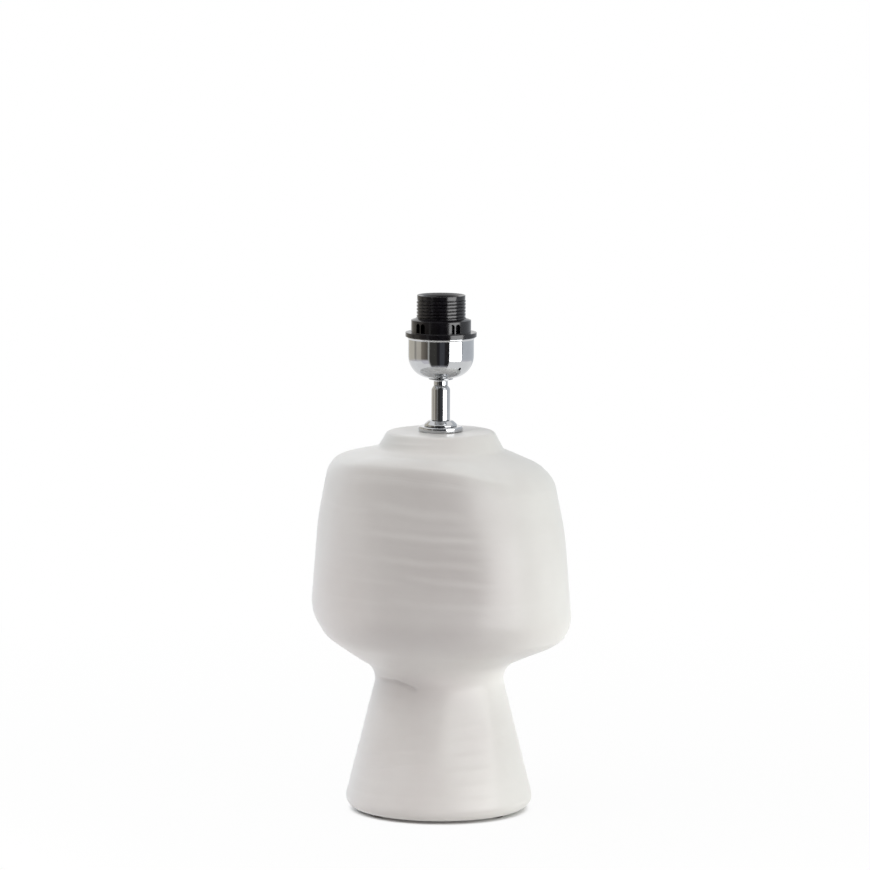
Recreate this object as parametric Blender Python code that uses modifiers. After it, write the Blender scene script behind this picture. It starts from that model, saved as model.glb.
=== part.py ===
# Table lamp base: a glazed ceramic body with a chromed stack and an E27 lamp holder on its neck.
# Metres, +Z up. The origin is on the table top under the middle of the foot, and -Y is the front.
import math

import bmesh
import bpy
from mathutils import Vector

# Fits and modelling
SEAT_GAP = 0.0003           # clearance between pieces that touch
CUT_OVERRUN = 0.002         # how far a cut runs past the face that it opens
MERGE_DISTANCE = 0.00001
FILLET_REACH_SHARE = 0.98   # of an edge that its two fillets share
ARC_STEP = math.radians(21)
COARSE_ARC_STEP = math.radians(46)
CHAMFER_STEP = math.pi      # one straight cut at a corner
SHARP_ANGLE = math.radians(38)
BODY_SEGMENTS = 40
HOLDER_SEGMENTS = 28
STACK_SEGMENTS = 24
SMALL_SEGMENTS = 12

# Felt pads under the foot
PAD_RADIUS = 0.008
PAD_THICKNESS = 0.0017
PAD_PLACE_SHARE = 0.35      # where the pads sit, from the opening of the foot to its corner
PAD_AZIMUTHS = {"front_left": -142, "front_right": -38, "rear_right": 38, "rear_left": 142}

# Ceramic body: the corners of its outline before they are rounded, each rise counted from the corner below
BODY_WALL = 0.006
FOOT_RADIUS = 0.0790
FOOT_ROUND = 0.0095
WAIST_RADIUS = 0.0500
WAIST_HEIGHT = 0.1149
WAIST_ROUND = 0.017
BELLY_RADIUS = 0.1078
BELLY_RISE = 0.0318
BELLY_ROUND = 0.0328
SIDE_RADIUS = 0.1008
SIDE_RISE = 0.0865
SIDE_ROUND = 0.142
SHOULDER_RADIUS = 0.0913
SHOULDER_RISE = 0.0493
SHOULDER_ROUND = 0.0250
NECK_BASE_RADIUS = 0.0515
NECK_BASE_RISE = 0.0136
NECK_BASE_ROUND = 0.0058
NECK_RADIUS = 0.0436
NECK_RISE = 0.0139
NECK_ROUND = 0.0045
FOOT_OPENING_RADIUS = 0.045
SMALLEST_ROUND = 0.001
# The block leans to the right, as a slope of its levels: none at the waist and at the neck
LEAN_AT_BELLY = 0.055
LEAN_AT_SHOULDER = 0.064
LEAN_START_SHARE = 0.25     # where the lean starts, between the waist and the belly
SHIFT_AT_BELLY = 0.0016     # the block also stands a little to the right of the foot and the neck
SHIFT_AT_SHOULDER = 0.0008

# Cable bush in the back of the foot
CABLE_HEIGHT = 0.025
BUSH_BORE_RADIUS = 0.0035
BUSH_WALL = 0.0012
BUSH_FLANGE_REACH = 0.0028
BUSH_FLANGE_THICKNESS = 0.002
BUSH_INNER_REACH = 0.002

# Threaded tube, M10 x 1, with its washers and nut under the neck
TUBE_RADIUS = 0.005
TUBE_WALL = 0.001
TUBE_CHAMFER = 0.0004
TUBE_TAIL = 0.005           # what stands out below the nut
TUBE_RISE = 0.0023          # what stands out above the hub of the holder cap
WASHER_RADIUS = 0.015
WASHER_THICKNESS = 0.002
LOCK_WASHER_RADIUS = 0.009
LOCK_WASHER_TOOTH = 0.0014
LOCK_WASHER_THICKNESS = 0.0009
LOCK_WASHER_TEETH = 12
NUT_ACROSS_FLATS = 0.014
NUT_HEIGHT = 0.005

# Chromed stack on the neck
ROSETTE_RADIUS = 0.018
ROSETTE_RIM = 0.0029         # round the recess for the gasket
ROSETTE_HEIGHT = 0.004
ROSETTE_TOP_ROUND = 0.0013
ROSETTE_FOOT_ROUND = 0.0006
GASKET_THICKNESS = 0.0012
DOME_BASE_RADIUS = 0.0134
DOME_TOP_RADIUS = 0.0098
DOME_HEIGHT = 0.0044
DOME_SKIRT = 0.0012
DOME_ROUND = 0.0026
SPACER_ROOM = 0.0013         # round the threaded tube
SPACER_WALL = 0.0009
SPACER_HEIGHT = 0.0282
SPACER_ROUND = 0.0029
COLLAR_WALL = 0.0006
COLLAR_NECK_HEIGHT = 0.0047
COLLAR_DISC_RADIUS = 0.010
COLLAR_DISC_THICKNESS = 0.0009
COLLAR_ROUND = 0.0016
CUP_ROOM = 0.003            # round the skirt of the holder shell
CUP_HEIGHT = 0.0336
CUP_WALL = 0.0008
CUP_ROUND = 0.0183
CUP_LIP_HEIGHT = 0.0014
CUP_LIP_REACH = 0.0004
CUP_HOLE_RADIUS = 0.0013
CUP_HOLE_HEIGHT = 0.0092
CUP_HOLE_AZIMUTH = math.radians(-51.4)

# Holder cap in the cup, and the grub screw that locks it on the tube
HUB_RADIUS = 0.009
HUB_HEIGHT = 0.0112
CAP_RADIUS = 0.0207
CAP_WALL = 0.0016
CAP_FLOOR = 0.002
CAP_ROUND = 0.002
GRUB_RADIUS = 0.0015
GRUB_LENGTH = 0.004
GRUB_SOCKET_RADIUS = 0.0008
GRUB_SOCKET_DEPTH = 0.0015

# Contact carrier, pale ceramic, with its terminals below and its contacts above
CARRIER_FLANGE_THICKNESS = 0.0024
CARRIER_ROOM = 0.0026        # between the block and the wall of the cap
CARRIER_BLOCK_HEIGHT = 0.0078
CARRIER_SEAT_HEIGHT = 0.0024
CARRIER_ROUND = 0.0006
RIVET_RADIUS = 0.0015
LIVE_RIVET_INSET = 0.0024    # inside the lip of the lamp shell
TERMINAL_WIDTH = 0.0072
TERMINAL_LENGTH = 0.0085
TERMINAL_HEIGHT = 0.005
TERMINAL_ROOM = 0.0019       # beside the threaded tube
TERMINAL_LIFT = 0.0012       # above the floor of the cap
TERMINAL_CHAMFER = 0.0004
WIRE_HOLE_RADIUS = 0.0013
WIRE_HOLE_SHIFT = 0.0018     # from the middle of the terminal, away from its screw
SCREW_SHANK_RADIUS = 0.0012
SCREW_SHANK_LENGTH = 0.003
SCREW_HEAD_RADIUS = 0.0022
SCREW_HEAD_HEIGHT = 0.0014
SCREW_SLOT_WIDTH = 0.0006
SCREW_SLOT_DEPTH = 0.0007

# Lamp screw shell, E27
LAMP_THREAD_RADIUS = 0.0131  # middle of the rolled wall
LAMP_THREAD_DEPTH = 0.0011
LAMP_THREAD_PITCH = 0.00363
LAMP_SHELL_WALL = 0.0005
LAMP_SHELL_HEIGHT = 0.0225
LAMP_SHELL_LIP_RADIUS = 0.0096
LAMP_THREAD_ROWS = 3        # rows of points in one pitch
LAMP_SHELL_SEGMENTS = 24

# Centre contact: a spring tongue fixed at its root
CONTACT_WIDTH = 0.005
CONTACT_THICKNESS = 0.0005
CONTACT_ROOT_LENGTH = 0.003
CONTACT_RISE = 0.0029
CONTACT_TIP_PLACE = 0.0042
CONTACT_TIP_DROP = 0.0008

# Holder shell with the outside thread for the shade ring
SHELL_SKIRT_WALL = 0.002
SHELL_SKIRT_HEIGHT = 0.0171
SHELL_SHOULDER_HEIGHT = 0.0023
SHELL_THREAD_RADIUS = 0.0198
SHELL_THREAD_DEPTH = 0.0009
SHELL_THREAD_PITCH = 0.00276
SHELL_THREAD_ROWS = 3
SHELL_RISE = 0.0337         # from the shoulder to the top rim
SHELL_COLLAR_STEP = 0.0005   # from the crest of the thread down to the collar
SHELL_COLLAR_HEIGHT = 0.0037
SHELL_RIM_ROUND = 0.0008
SHELL_MOUTH_FLARE = 0.0012

# Shade ring
RING_GRIP_WALL = 0.0043
RING_FLANGE_REACH = 0.0046
RING_FLANGE_THICKNESS = 0.0037
RING_FLANGE_ROUND = 0.0005
RING_GRIP_HEIGHT = 0.0129   # from the underside of the flange to the edge of the grip
RING_TOP_RISE = 0.0020      # the top slopes up to the bore
RING_SLOT_GROUPS = 5
RING_SLOT_WIDTH = 0.0041
RING_SLOT_DEPTH = 0.0020
RING_SLOT_HEIGHT = 0.0070
RING_SLOT_AZIMUTHS = (-66.6, -54.6)
RING_ARCH_STEPS = 4

# Heights that follow from the sizes above
BODY_UNDERSIDE = PAD_THICKNESS + SEAT_GAP
WAIST_LEVEL = BODY_UNDERSIDE + WAIST_HEIGHT
BELLY_LEVEL = WAIST_LEVEL + BELLY_RISE
SIDE_LEVEL = BELLY_LEVEL + SIDE_RISE
SHOULDER_LEVEL = SIDE_LEVEL + SHOULDER_RISE
NECK_BASE_LEVEL = SHOULDER_LEVEL + NECK_BASE_RISE
BODY_TOP = NECK_BASE_LEVEL + NECK_RISE
CEILING = BODY_TOP - BODY_WALL
WASHER_TOP = CEILING - SEAT_GAP
LOCK_WASHER_TOP = WASHER_TOP - WASHER_THICKNESS - SEAT_GAP
NUT_TOP = LOCK_WASHER_TOP - LOCK_WASHER_THICKNESS - SEAT_GAP
TUBE_BOTTOM = NUT_TOP - NUT_HEIGHT - TUBE_TAIL
ROSETTE_BOTTOM = BODY_TOP + SEAT_GAP
DOME_BOTTOM = ROSETTE_BOTTOM + ROSETTE_HEIGHT + SEAT_GAP
SPACER_BOTTOM = DOME_BOTTOM + DOME_HEIGHT + SEAT_GAP
COLLAR_BOTTOM = SPACER_BOTTOM + SPACER_HEIGHT + SEAT_GAP
CUP_BOTTOM = COLLAR_BOTTOM + COLLAR_NECK_HEIGHT + COLLAR_DISC_THICKNESS + SEAT_GAP
CUP_TOP = CUP_BOTTOM + CUP_HEIGHT
CAP_BOTTOM = CUP_BOTTOM + CUP_WALL + SEAT_GAP
CAP_FLOOR_TOP = CAP_BOTTOM + HUB_HEIGHT + CAP_FLOOR
TUBE_TOP = CAP_FLOOR_TOP + TUBE_RISE
TERMINAL_TOP = CAP_FLOOR_TOP + TERMINAL_LIFT + TERMINAL_HEIGHT
CARRIER_BOTTOM = TERMINAL_TOP + SEAT_GAP
CARRIER_FLANGE_BOTTOM = CARRIER_BOTTOM + CARRIER_BLOCK_HEIGHT
CARRIER_FLANGE_TOP = CARRIER_FLANGE_BOTTOM + CARRIER_FLANGE_THICKNESS
CAP_TOP = CARRIER_FLANGE_BOTTOM - SEAT_GAP
CARRIER_TOP = CARRIER_FLANGE_TOP + CARRIER_SEAT_HEIGHT
LAMP_SHELL_BOTTOM = CARRIER_TOP + SEAT_GAP
SHELL_SHOULDER_UNDERSIDE = CARRIER_FLANGE_TOP + SEAT_GAP
SHELL_SHOULDER_TOP = SHELL_SHOULDER_UNDERSIDE + SHELL_SHOULDER_HEIGHT
SHELL_TOP = SHELL_SHOULDER_TOP + SHELL_RISE
RING_BOTTOM = max(CUP_TOP, SHELL_SHOULDER_TOP) + SEAT_GAP

# Radii and places that follow
PAD_CIRCLE_RADIUS = FOOT_OPENING_RADIUS + (FOOT_RADIUS - FOOT_OPENING_RADIUS) * PAD_PLACE_SHARE
BUSH_SLEEVE_RADIUS = BUSH_BORE_RADIUS + BUSH_WALL
BUSH_FLANGE_RADIUS = BUSH_SLEEVE_RADIUS + BUSH_FLANGE_REACH
TUBE_BORE_RADIUS = TUBE_RADIUS - TUBE_WALL
TUBE_CLEARANCE_RADIUS = TUBE_RADIUS + SEAT_GAP
GASKET_RADIUS = ROSETTE_RADIUS - ROSETTE_RIM - SEAT_GAP
SPACER_RADIUS = TUBE_CLEARANCE_RADIUS + SPACER_ROOM + SPACER_WALL
TERMINAL_PLACE = TUBE_RADIUS + TERMINAL_ROOM + TERMINAL_WIDTH / 2
LIVE_RIVET_PLACE = LAMP_SHELL_LIP_RADIUS - LIVE_RIVET_INSET
NEUTRAL_RIVET_PLACE = (LAMP_SHELL_LIP_RADIUS + LAMP_THREAD_RADIUS) / 2
CARRIER_BLOCK_RADIUS = CAP_RADIUS - CAP_WALL - CARRIER_ROOM
LAMP_SHELL_OUTER_RADIUS = LAMP_THREAD_RADIUS + (LAMP_THREAD_DEPTH + LAMP_SHELL_WALL) / 2
SHELL_BORE_RADIUS = LAMP_SHELL_OUTER_RADIUS + SEAT_GAP
SHELL_SKIRT_BORE_RADIUS = CAP_RADIUS + SEAT_GAP
SHELL_SKIRT_RADIUS = SHELL_SKIRT_BORE_RADIUS + SHELL_SKIRT_WALL
SHELL_ROOT_RADIUS = SHELL_THREAD_RADIUS - SHELL_THREAD_DEPTH
SHELL_COLLAR_RADIUS = SHELL_THREAD_RADIUS - SHELL_COLLAR_STEP
CUP_RADIUS = SHELL_SKIRT_RADIUS + CUP_ROOM + CUP_WALL
RING_BORE_RADIUS = SHELL_THREAD_RADIUS + SEAT_GAP
RING_GRIP_RADIUS = RING_BORE_RADIUS + RING_GRIP_WALL
RING_FLANGE_RADIUS = RING_GRIP_RADIUS + RING_FLANGE_REACH

# Finishes: colour, metallic and roughness
FINISHES = {
    "satin_glaze": ((0.80, 0.79, 0.76), 0.0, 0.38),
    "brown_felt": ((0.022, 0.015, 0.013), 0.0, 0.95),
    "black_rubber": ((0.015, 0.015, 0.016), 0.0, 0.75),
    "chrome": ((0.72, 0.73, 0.74), 1.0, 0.07),
    "zinc_steel": ((0.52, 0.53, 0.54), 1.0, 0.32),
    "brass": ((0.66, 0.49, 0.22), 1.0, 0.28),
    "black_thermoplastic": ((0.011, 0.010, 0.012), 0.0, 0.26),
    "steatite": ((0.78, 0.76, 0.70), 0.0, 0.45),
    "nickelled_copper": ((0.63, 0.60, 0.54), 1.0, 0.25),
}


def clear_scene():
    for item in list(bpy.data.objects):
        bpy.data.objects.remove(item, do_unlink=True)


def new_collection(name):
    collection = bpy.data.collections.new(name)
    bpy.context.scene.collection.children.link(collection)
    return collection


def finish_material(name):
    """The finish with this name, made once and then shared."""
    if name in bpy.data.materials:
        return bpy.data.materials[name]
    colour, metallic, roughness = FINISHES[name]
    material = bpy.data.materials.new(name)
    material.use_nodes = True
    shader = material.node_tree.nodes["Principled BSDF"]
    shader.inputs["Base Color"].default_value = (*colour, 1.0)
    shader.inputs["Metallic"].default_value = metallic
    shader.inputs["Roughness"].default_value = roughness
    return material


def add_object(name, mesh, finish=None):
    """A part with its finish or, with none, a cutter that is left out of renders."""
    item = bpy.data.objects.new(name, mesh)
    if finish:
        mesh.materials.append(finish_material(finish))
        parts.objects.link(item)
    else:
        item.hide_render = True
        item.display_type = "WIRE"
        cutters.objects.link(item)
    return item


def settle(item):
    """Turns an object's modifiers into plain mesh, so that its points can be moved."""
    graph = bpy.context.evaluated_depsgraph_get()
    mesh = bpy.data.meshes.new_from_object(item.evaluated_get(graph))
    mesh.name = item.name
    item.modifiers.clear()
    item.data = mesh
    mesh.shade_smooth()
    mesh.set_sharp_from_angle(angle=SHARP_ANGLE)
    return item


def boolean(item, other, operation="DIFFERENCE"):
    step = item.modifiers.new(other.name, "BOOLEAN")
    step.operation = operation
    step.object = other


def rounded(corners, rounds, arc_step=ARC_STEP):
    """A closed outline through the corners, each with its own fillet. Two fillets share the edge between them."""
    corners = [Vector(corner) for corner in corners]
    ahead_of = corners[1:] + corners[:1]
    half_angles = [
        (before - here).angle(ahead - here) / 2
        for before, here, ahead in zip(corners[-1:] + corners[:-1], corners, ahead_of)
    ]
    wanted = [radius / math.tan(half_angle) for radius, half_angle in zip(rounds, half_angles)]
    points = []
    for i, (here, half_angle) in enumerate(zip(corners, half_angles)):
        j = (i + 1) % len(corners)
        back, ahead = corners[i - 1] - here, corners[j] - here
        if wanted[i] < MERGE_DISTANCE or math.cos(half_angle) < MERGE_DISTANCE:
            points.append(here)
            continue
        reach = min(
            wanted[i],
            back.length * FILLET_REACH_SHARE * wanted[i] / (wanted[i] + wanted[i - 1]),
            ahead.length * FILLET_REACH_SHARE * wanted[i] / (wanted[i] + wanted[j]),
        )
        to_centre = reach / math.cos(half_angle)
        centre = here + (back.normalized() + ahead.normalized()).normalized() * to_centre
        start = here + back.normalized() * reach - centre
        end = here + ahead.normalized() * reach - centre
        first = math.atan2(start.y, start.x)
        turn = math.remainder(math.atan2(end.y, end.x) - first, math.tau)
        steps = max(1, math.ceil(abs(turn) / arc_step))
        for step in range(steps + 1):
            angle = first + turn * step / steps
            points.append(centre + Vector((math.cos(angle), math.sin(angle))) * start.length)
    return points


def inset(corners, distance):
    """An open run of corners moved to its right-hand side, which on an outer face is into the wall."""
    runs = [Vector(b) - Vector(a) for a, b in zip(corners, corners[1:])]
    normals = [Vector((run.y, -run.x)).normalized() for run in runs]
    moved = []
    for corner, before, after in zip(corners, normals[:1] + normals, normals + normals[-1:]):
        moved.append(Vector(corner) + (before + after) * (distance / (1 + before.dot(after))))
    return moved


def turned(name, outline, segments, finish=None):
    """A closed outline of radius and height, turned round the Z axis. Its outer side has to run down."""
    area = sum(a[0] * b[1] - b[0] * a[1] for a, b in zip(outline, outline[1:] + outline[:1]))
    if area > 0:
        outline = outline[::-1]
    count = len(outline)
    mesh = bpy.data.meshes.new(name)
    mesh.from_pydata(
        [(radius, 0, height) for radius, height in outline],
        [(i, (i + 1) % count) for i in range(count)],
        [],
    )
    item = add_object(name, mesh, finish)
    screw = item.modifiers.new("turn", "SCREW")
    screw.steps = segments
    screw.render_steps = segments
    screw.use_merge_vertices = True
    screw.merge_threshold = MERGE_DISTANCE
    return settle(item)


def ring(name, outer, inner, bottom, top, segments, finish, edge=0.0):
    """A plain ring whose four edges share one small chamfer."""
    corners = [(inner, top), (outer, top), (outer, bottom), (inner, bottom)]
    return turned(name, rounded(corners, [edge] * len(corners), CHAMFER_STEP), segments, finish)


def rod(name, radius, start, end, segments=SMALL_SEGMENTS, finish=None, end_radius=None):
    """A cylinder or a cone between two points."""
    axis = Vector(end) - Vector(start)
    mesh = bpy.data.meshes.new(name)
    shape = bmesh.new()
    bmesh.ops.create_cone(
        shape,
        cap_ends=True,
        segments=segments,
        radius1=radius,
        radius2=radius if end_radius is None else end_radius,
        depth=axis.length,
    )
    shape.to_mesh(mesh)
    shape.free()
    mesh.shade_smooth()
    mesh.set_sharp_from_angle(angle=SHARP_ANGLE)
    item = add_object(name, mesh, finish)
    item.location = (Vector(start) + Vector(end)) / 2
    item.rotation_mode = "QUATERNION"
    item.rotation_quaternion = Vector((0, 0, 1)).rotation_difference(axis)
    return item


def block(name, size, centre, finish=None, chamfer=0.0):
    mesh = bpy.data.meshes.new(name)
    shape = bmesh.new()
    bmesh.ops.create_cube(shape, size=1)
    bmesh.ops.scale(shape, vec=size, verts=shape.verts)
    shape.to_mesh(mesh)
    shape.free()
    item = add_object(name, mesh, finish)
    item.location = centre
    if chamfer:
        bevel = item.modifiers.new("edges", "BEVEL")
        bevel.width = chamfer
        bevel.segments = 1
    return item


def extruded(name, outline, thickness, finish=None):
    """A flat outline in the XY plane, made into a plate from 0 up to its thickness."""
    shape = bmesh.new()
    face = shape.faces.new([shape.verts.new((point[0], point[1], 0)) for point in outline])
    grown = bmesh.ops.extrude_face_region(shape, geom=[face])
    lifted = [item for item in grown["geom"] if isinstance(item, bmesh.types.BMVert)]
    bmesh.ops.translate(shape, vec=(0, 0, thickness), verts=lifted)
    bmesh.ops.recalc_face_normals(shape, faces=shape.faces)
    mesh = bpy.data.meshes.new(name)
    shape.to_mesh(mesh)
    shape.free()
    return add_object(name, mesh, finish)


def ramp(value, low, high):
    """0 below low and 1 above high, with an even rise between."""
    return min(1.0, max(0.0, (value - low) / (high - low)))


def wave(turns):
    """A thread's rise over one turn of its phase, from 0 in the root to 1 on the crest."""
    return (1 + math.cos(math.tau * turns)) / 2


def body_corners():
    """The outer outline of the ceramic, from the hole in the neck down to the opening of the foot."""
    return [
        (TUBE_CLEARANCE_RADIUS, BODY_TOP),
        (NECK_RADIUS, BODY_TOP),
        (NECK_BASE_RADIUS, NECK_BASE_LEVEL),
        (SHOULDER_RADIUS, SHOULDER_LEVEL),
        (SIDE_RADIUS, SIDE_LEVEL),
        (BELLY_RADIUS, BELLY_LEVEL),
        (WAIST_RADIUS, WAIST_LEVEL),
        (FOOT_RADIUS, BODY_UNDERSIDE),
        (FOOT_OPENING_RADIUS, BODY_UNDERSIDE),
    ]


def block_value(height, at_belly, at_shoulder):
    """A value that runs from the belly to the shoulder and is nothing at the waist and at the ceiling."""
    rise = ramp(height, WAIST_LEVEL + BELLY_RISE * LEAN_START_SHARE, BELLY_LEVEL)
    fall = 1 - ramp(height, SHOULDER_LEVEL, CEILING)
    middle = ramp(height, BELLY_LEVEL, SHOULDER_LEVEL)
    return (at_belly + (at_shoulder - at_belly) * middle) * rise * fall


def foot_wall_radius(height):
    """The outer radius of the foot's plain cone at a height above the ceramic's underside."""
    return FOOT_RADIUS + (WAIST_RADIUS - FOOT_RADIUS) * height / WAIST_HEIGHT


def make_ceramic_body():
    outer = body_corners()
    inner = inset(outer, BODY_WALL)
    inner[0].x = TUBE_CLEARANCE_RADIUS
    rounds = [0, NECK_ROUND, NECK_BASE_ROUND, SHOULDER_ROUND, SIDE_ROUND, BELLY_ROUND,
              WAIST_ROUND, FOOT_ROUND, SMALLEST_ROUND]
    bends = [0, 1, -1, 1, 1, 1, -1, 1, 0]
    inner_rounds = [
        max(radius - bend * BODY_WALL, SMALLEST_ROUND) if bend else radius
        for radius, bend in zip(rounds, bends)
    ]
    fine = rounded(outer + inner[::-1], rounds + [0] * len(inner))[: -len(inner)]
    coarse = rounded(
        inner[::-1] + outer, inner_rounds[::-1] + [0] * len(outer), COARSE_ARC_STEP
    )[: -len(outer)]
    body = turned("ceramic_body", fine + coarse, BODY_SEGMENTS, "satin_glaze")
    for vertex in body.data.vertices:
        level = vertex.co.z
        vertex.co.z -= block_value(level, LEAN_AT_BELLY, LEAN_AT_SHOULDER) * vertex.co.x
        vertex.co.x += block_value(level, SHIFT_AT_BELLY, SHIFT_AT_SHOULDER)
    height = BODY_UNDERSIDE + CABLE_HEIGHT
    wall = foot_wall_radius(CABLE_HEIGHT)
    hole = rod(
        "cable_hole_cutter",
        BUSH_SLEEVE_RADIUS + SEAT_GAP,
        (0, wall - BODY_WALL - BUSH_FLANGE_RADIUS, height),
        (0, wall + BUSH_FLANGE_RADIUS, height),
    )
    boolean(body, hole)


def make_felt_pads():
    for place, azimuth in PAD_AZIMUTHS.items():
        x = PAD_CIRCLE_RADIUS * math.cos(math.radians(azimuth))
        y = PAD_CIRCLE_RADIUS * math.sin(math.radians(azimuth))
        rod("felt_pad_" + place, PAD_RADIUS, (x, y, 0), (x, y, PAD_THICKNESS), finish="brown_felt")


def make_cable_bush():
    """A rubber bush whose flange follows the slope of the foot."""
    height = BODY_UNDERSIDE + CABLE_HEIGHT
    wall = foot_wall_radius(CABLE_HEIGHT)
    face = wall + BUSH_FLANGE_THICKNESS
    back = wall - BODY_WALL - BUSH_INNER_REACH
    bush = rod("cable_bush", BUSH_FLANGE_RADIUS, (0, back, height), (0, face, height),
               segments=STACK_SEGMENTS, finish="black_rubber")
    low = CABLE_HEIGHT - BUSH_FLANGE_RADIUS - CUT_OVERRUN
    high = CABLE_HEIGHT + BUSH_FLANGE_RADIUS + CUT_OVERRUN
    skin = rod("foot_skin_cutter", foot_wall_radius(low) + SEAT_GAP,
               (0, 0, BODY_UNDERSIDE + low), (0, 0, BODY_UNDERSIDE + high),
               segments=BODY_SEGMENTS, end_radius=foot_wall_radius(high) + SEAT_GAP)
    sleeve = rod("bush_sleeve_shape", BUSH_SLEEVE_RADIUS, (0, back, height), (0, wall + SEAT_GAP, height))
    bore = rod("bush_bore_cutter", BUSH_BORE_RADIUS,
               (0, back - CUT_OVERRUN, height), (0, face + CUT_OVERRUN, height))
    boolean(bush, skin)
    boolean(bush, sleeve, "UNION")
    boolean(bush, bore)


def make_tube_fixings():
    """The threaded tube and what holds it under the neck."""
    ring("threaded_tube", TUBE_RADIUS, TUBE_BORE_RADIUS, TUBE_BOTTOM, TUBE_TOP,
         STACK_SEGMENTS, "zinc_steel", TUBE_CHAMFER)
    ring("steel_washer", WASHER_RADIUS, TUBE_CLEARANCE_RADIUS, WASHER_TOP - WASHER_THICKNESS,
         WASHER_TOP, STACK_SEGMENTS, "zinc_steel")
    bore = rod("fixing_bore_cutter", TUBE_CLEARANCE_RADIUS, (0, 0, TUBE_BOTTOM), (0, 0, WASHER_TOP),
               segments=STACK_SEGMENTS)
    teeth = []
    for tooth in range(LOCK_WASHER_TEETH):
        reaches = (0, 0, LOCK_WASHER_TOOTH, LOCK_WASHER_TOOTH)
        for corner, reach in enumerate(reaches):
            angle = math.tau * (tooth + corner / len(reaches)) / LOCK_WASHER_TEETH
            radius = LOCK_WASHER_RADIUS - LOCK_WASHER_TOOTH + reach
            teeth.append((radius * math.cos(angle), radius * math.sin(angle)))
    lock_washer = extruded("lock_washer", teeth, LOCK_WASHER_THICKNESS, "zinc_steel")
    lock_washer.location.z = LOCK_WASHER_TOP - LOCK_WASHER_THICKNESS
    boolean(lock_washer, bore)
    corner_radius = NUT_ACROSS_FLATS / 2 / math.cos(math.pi / 6)
    nut = rod("lock_nut", corner_radius, (0, 0, NUT_TOP - NUT_HEIGHT), (0, 0, NUT_TOP),
              segments=6, finish="zinc_steel")
    boolean(nut, bore)


def make_rosette():
    """The chromed disc on the neck, hollow underneath for its gasket."""
    ring("rubber_gasket", GASKET_RADIUS, TUBE_CLEARANCE_RADIUS, ROSETTE_BOTTOM,
         ROSETTE_BOTTOM + GASKET_THICKNESS, STACK_SEGMENTS, "black_rubber")
    top = ROSETTE_BOTTOM + ROSETTE_HEIGHT
    recess = ROSETTE_BOTTOM + GASKET_THICKNESS + SEAT_GAP
    corners = [
        (TUBE_CLEARANCE_RADIUS, top),
        (ROSETTE_RADIUS, top),
        (ROSETTE_RADIUS, ROSETTE_BOTTOM),
        (GASKET_RADIUS + SEAT_GAP, ROSETTE_BOTTOM),
        (GASKET_RADIUS + SEAT_GAP, recess),
        (TUBE_CLEARANCE_RADIUS, recess),
    ]
    rounds = [0, ROSETTE_TOP_ROUND, ROSETTE_FOOT_ROUND, 0, 0, 0]
    turned("rosette", rounded(corners, rounds, COARSE_ARC_STEP), HOLDER_SEGMENTS, "chrome")


def make_seat_dome():
    top = DOME_BOTTOM + DOME_HEIGHT
    corners = [
        (TUBE_CLEARANCE_RADIUS, top),
        (DOME_TOP_RADIUS, top),
        (DOME_BASE_RADIUS, DOME_BOTTOM + DOME_SKIRT),
        (DOME_BASE_RADIUS, DOME_BOTTOM),
        (TUBE_CLEARANCE_RADIUS, DOME_BOTTOM),
    ]
    turned("seat_dome", rounded(corners, [0, DOME_ROUND, DOME_ROUND, 0, 0]), STACK_SEGMENTS, "chrome")


def make_spacer_tube():
    """A thin tube round the threaded one, drawn in to it at the top."""
    top = SPACER_BOTTOM + SPACER_HEIGHT
    bore = SPACER_RADIUS - SPACER_WALL
    corners = [
        (TUBE_CLEARANCE_RADIUS, top),
        (SPACER_RADIUS, top),
        (SPACER_RADIUS, SPACER_BOTTOM),
        (bore, SPACER_BOTTOM),
        (bore, top - SPACER_WALL),
        (TUBE_CLEARANCE_RADIUS, top - SPACER_WALL),
    ]
    inner_round = max(SPACER_ROUND - SPACER_WALL, 0)
    rounds = [0, SPACER_ROUND, 0, 0, inner_round, 0]
    outline = rounded(corners, rounds, COARSE_ARC_STEP)
    turned("spacer_tube", outline, STACK_SEGMENTS, "chrome")


def make_neck_collar():
    """A short neck that spreads into the thin disc under the cup."""
    neck = TUBE_CLEARANCE_RADIUS + COLLAR_WALL
    disc_bottom = COLLAR_BOTTOM + COLLAR_NECK_HEIGHT
    top = disc_bottom + COLLAR_DISC_THICKNESS
    corners = [
        (TUBE_CLEARANCE_RADIUS, top),
        (COLLAR_DISC_RADIUS, top),
        (COLLAR_DISC_RADIUS, disc_bottom),
        (neck, disc_bottom),
        (neck, COLLAR_BOTTOM),
        (TUBE_CLEARANCE_RADIUS, COLLAR_BOTTOM),
    ]
    outline = rounded(corners, [0, 0, 0, COLLAR_ROUND, 0, 0], COARSE_ARC_STEP)
    turned("neck_collar", outline, STACK_SEGMENTS, "chrome")


def radial(azimuth, radius, height):
    """A point at a radius and a height, on an azimuth counted from +X."""
    return (radius * math.cos(azimuth), radius * math.sin(azimuth), height)


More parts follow.
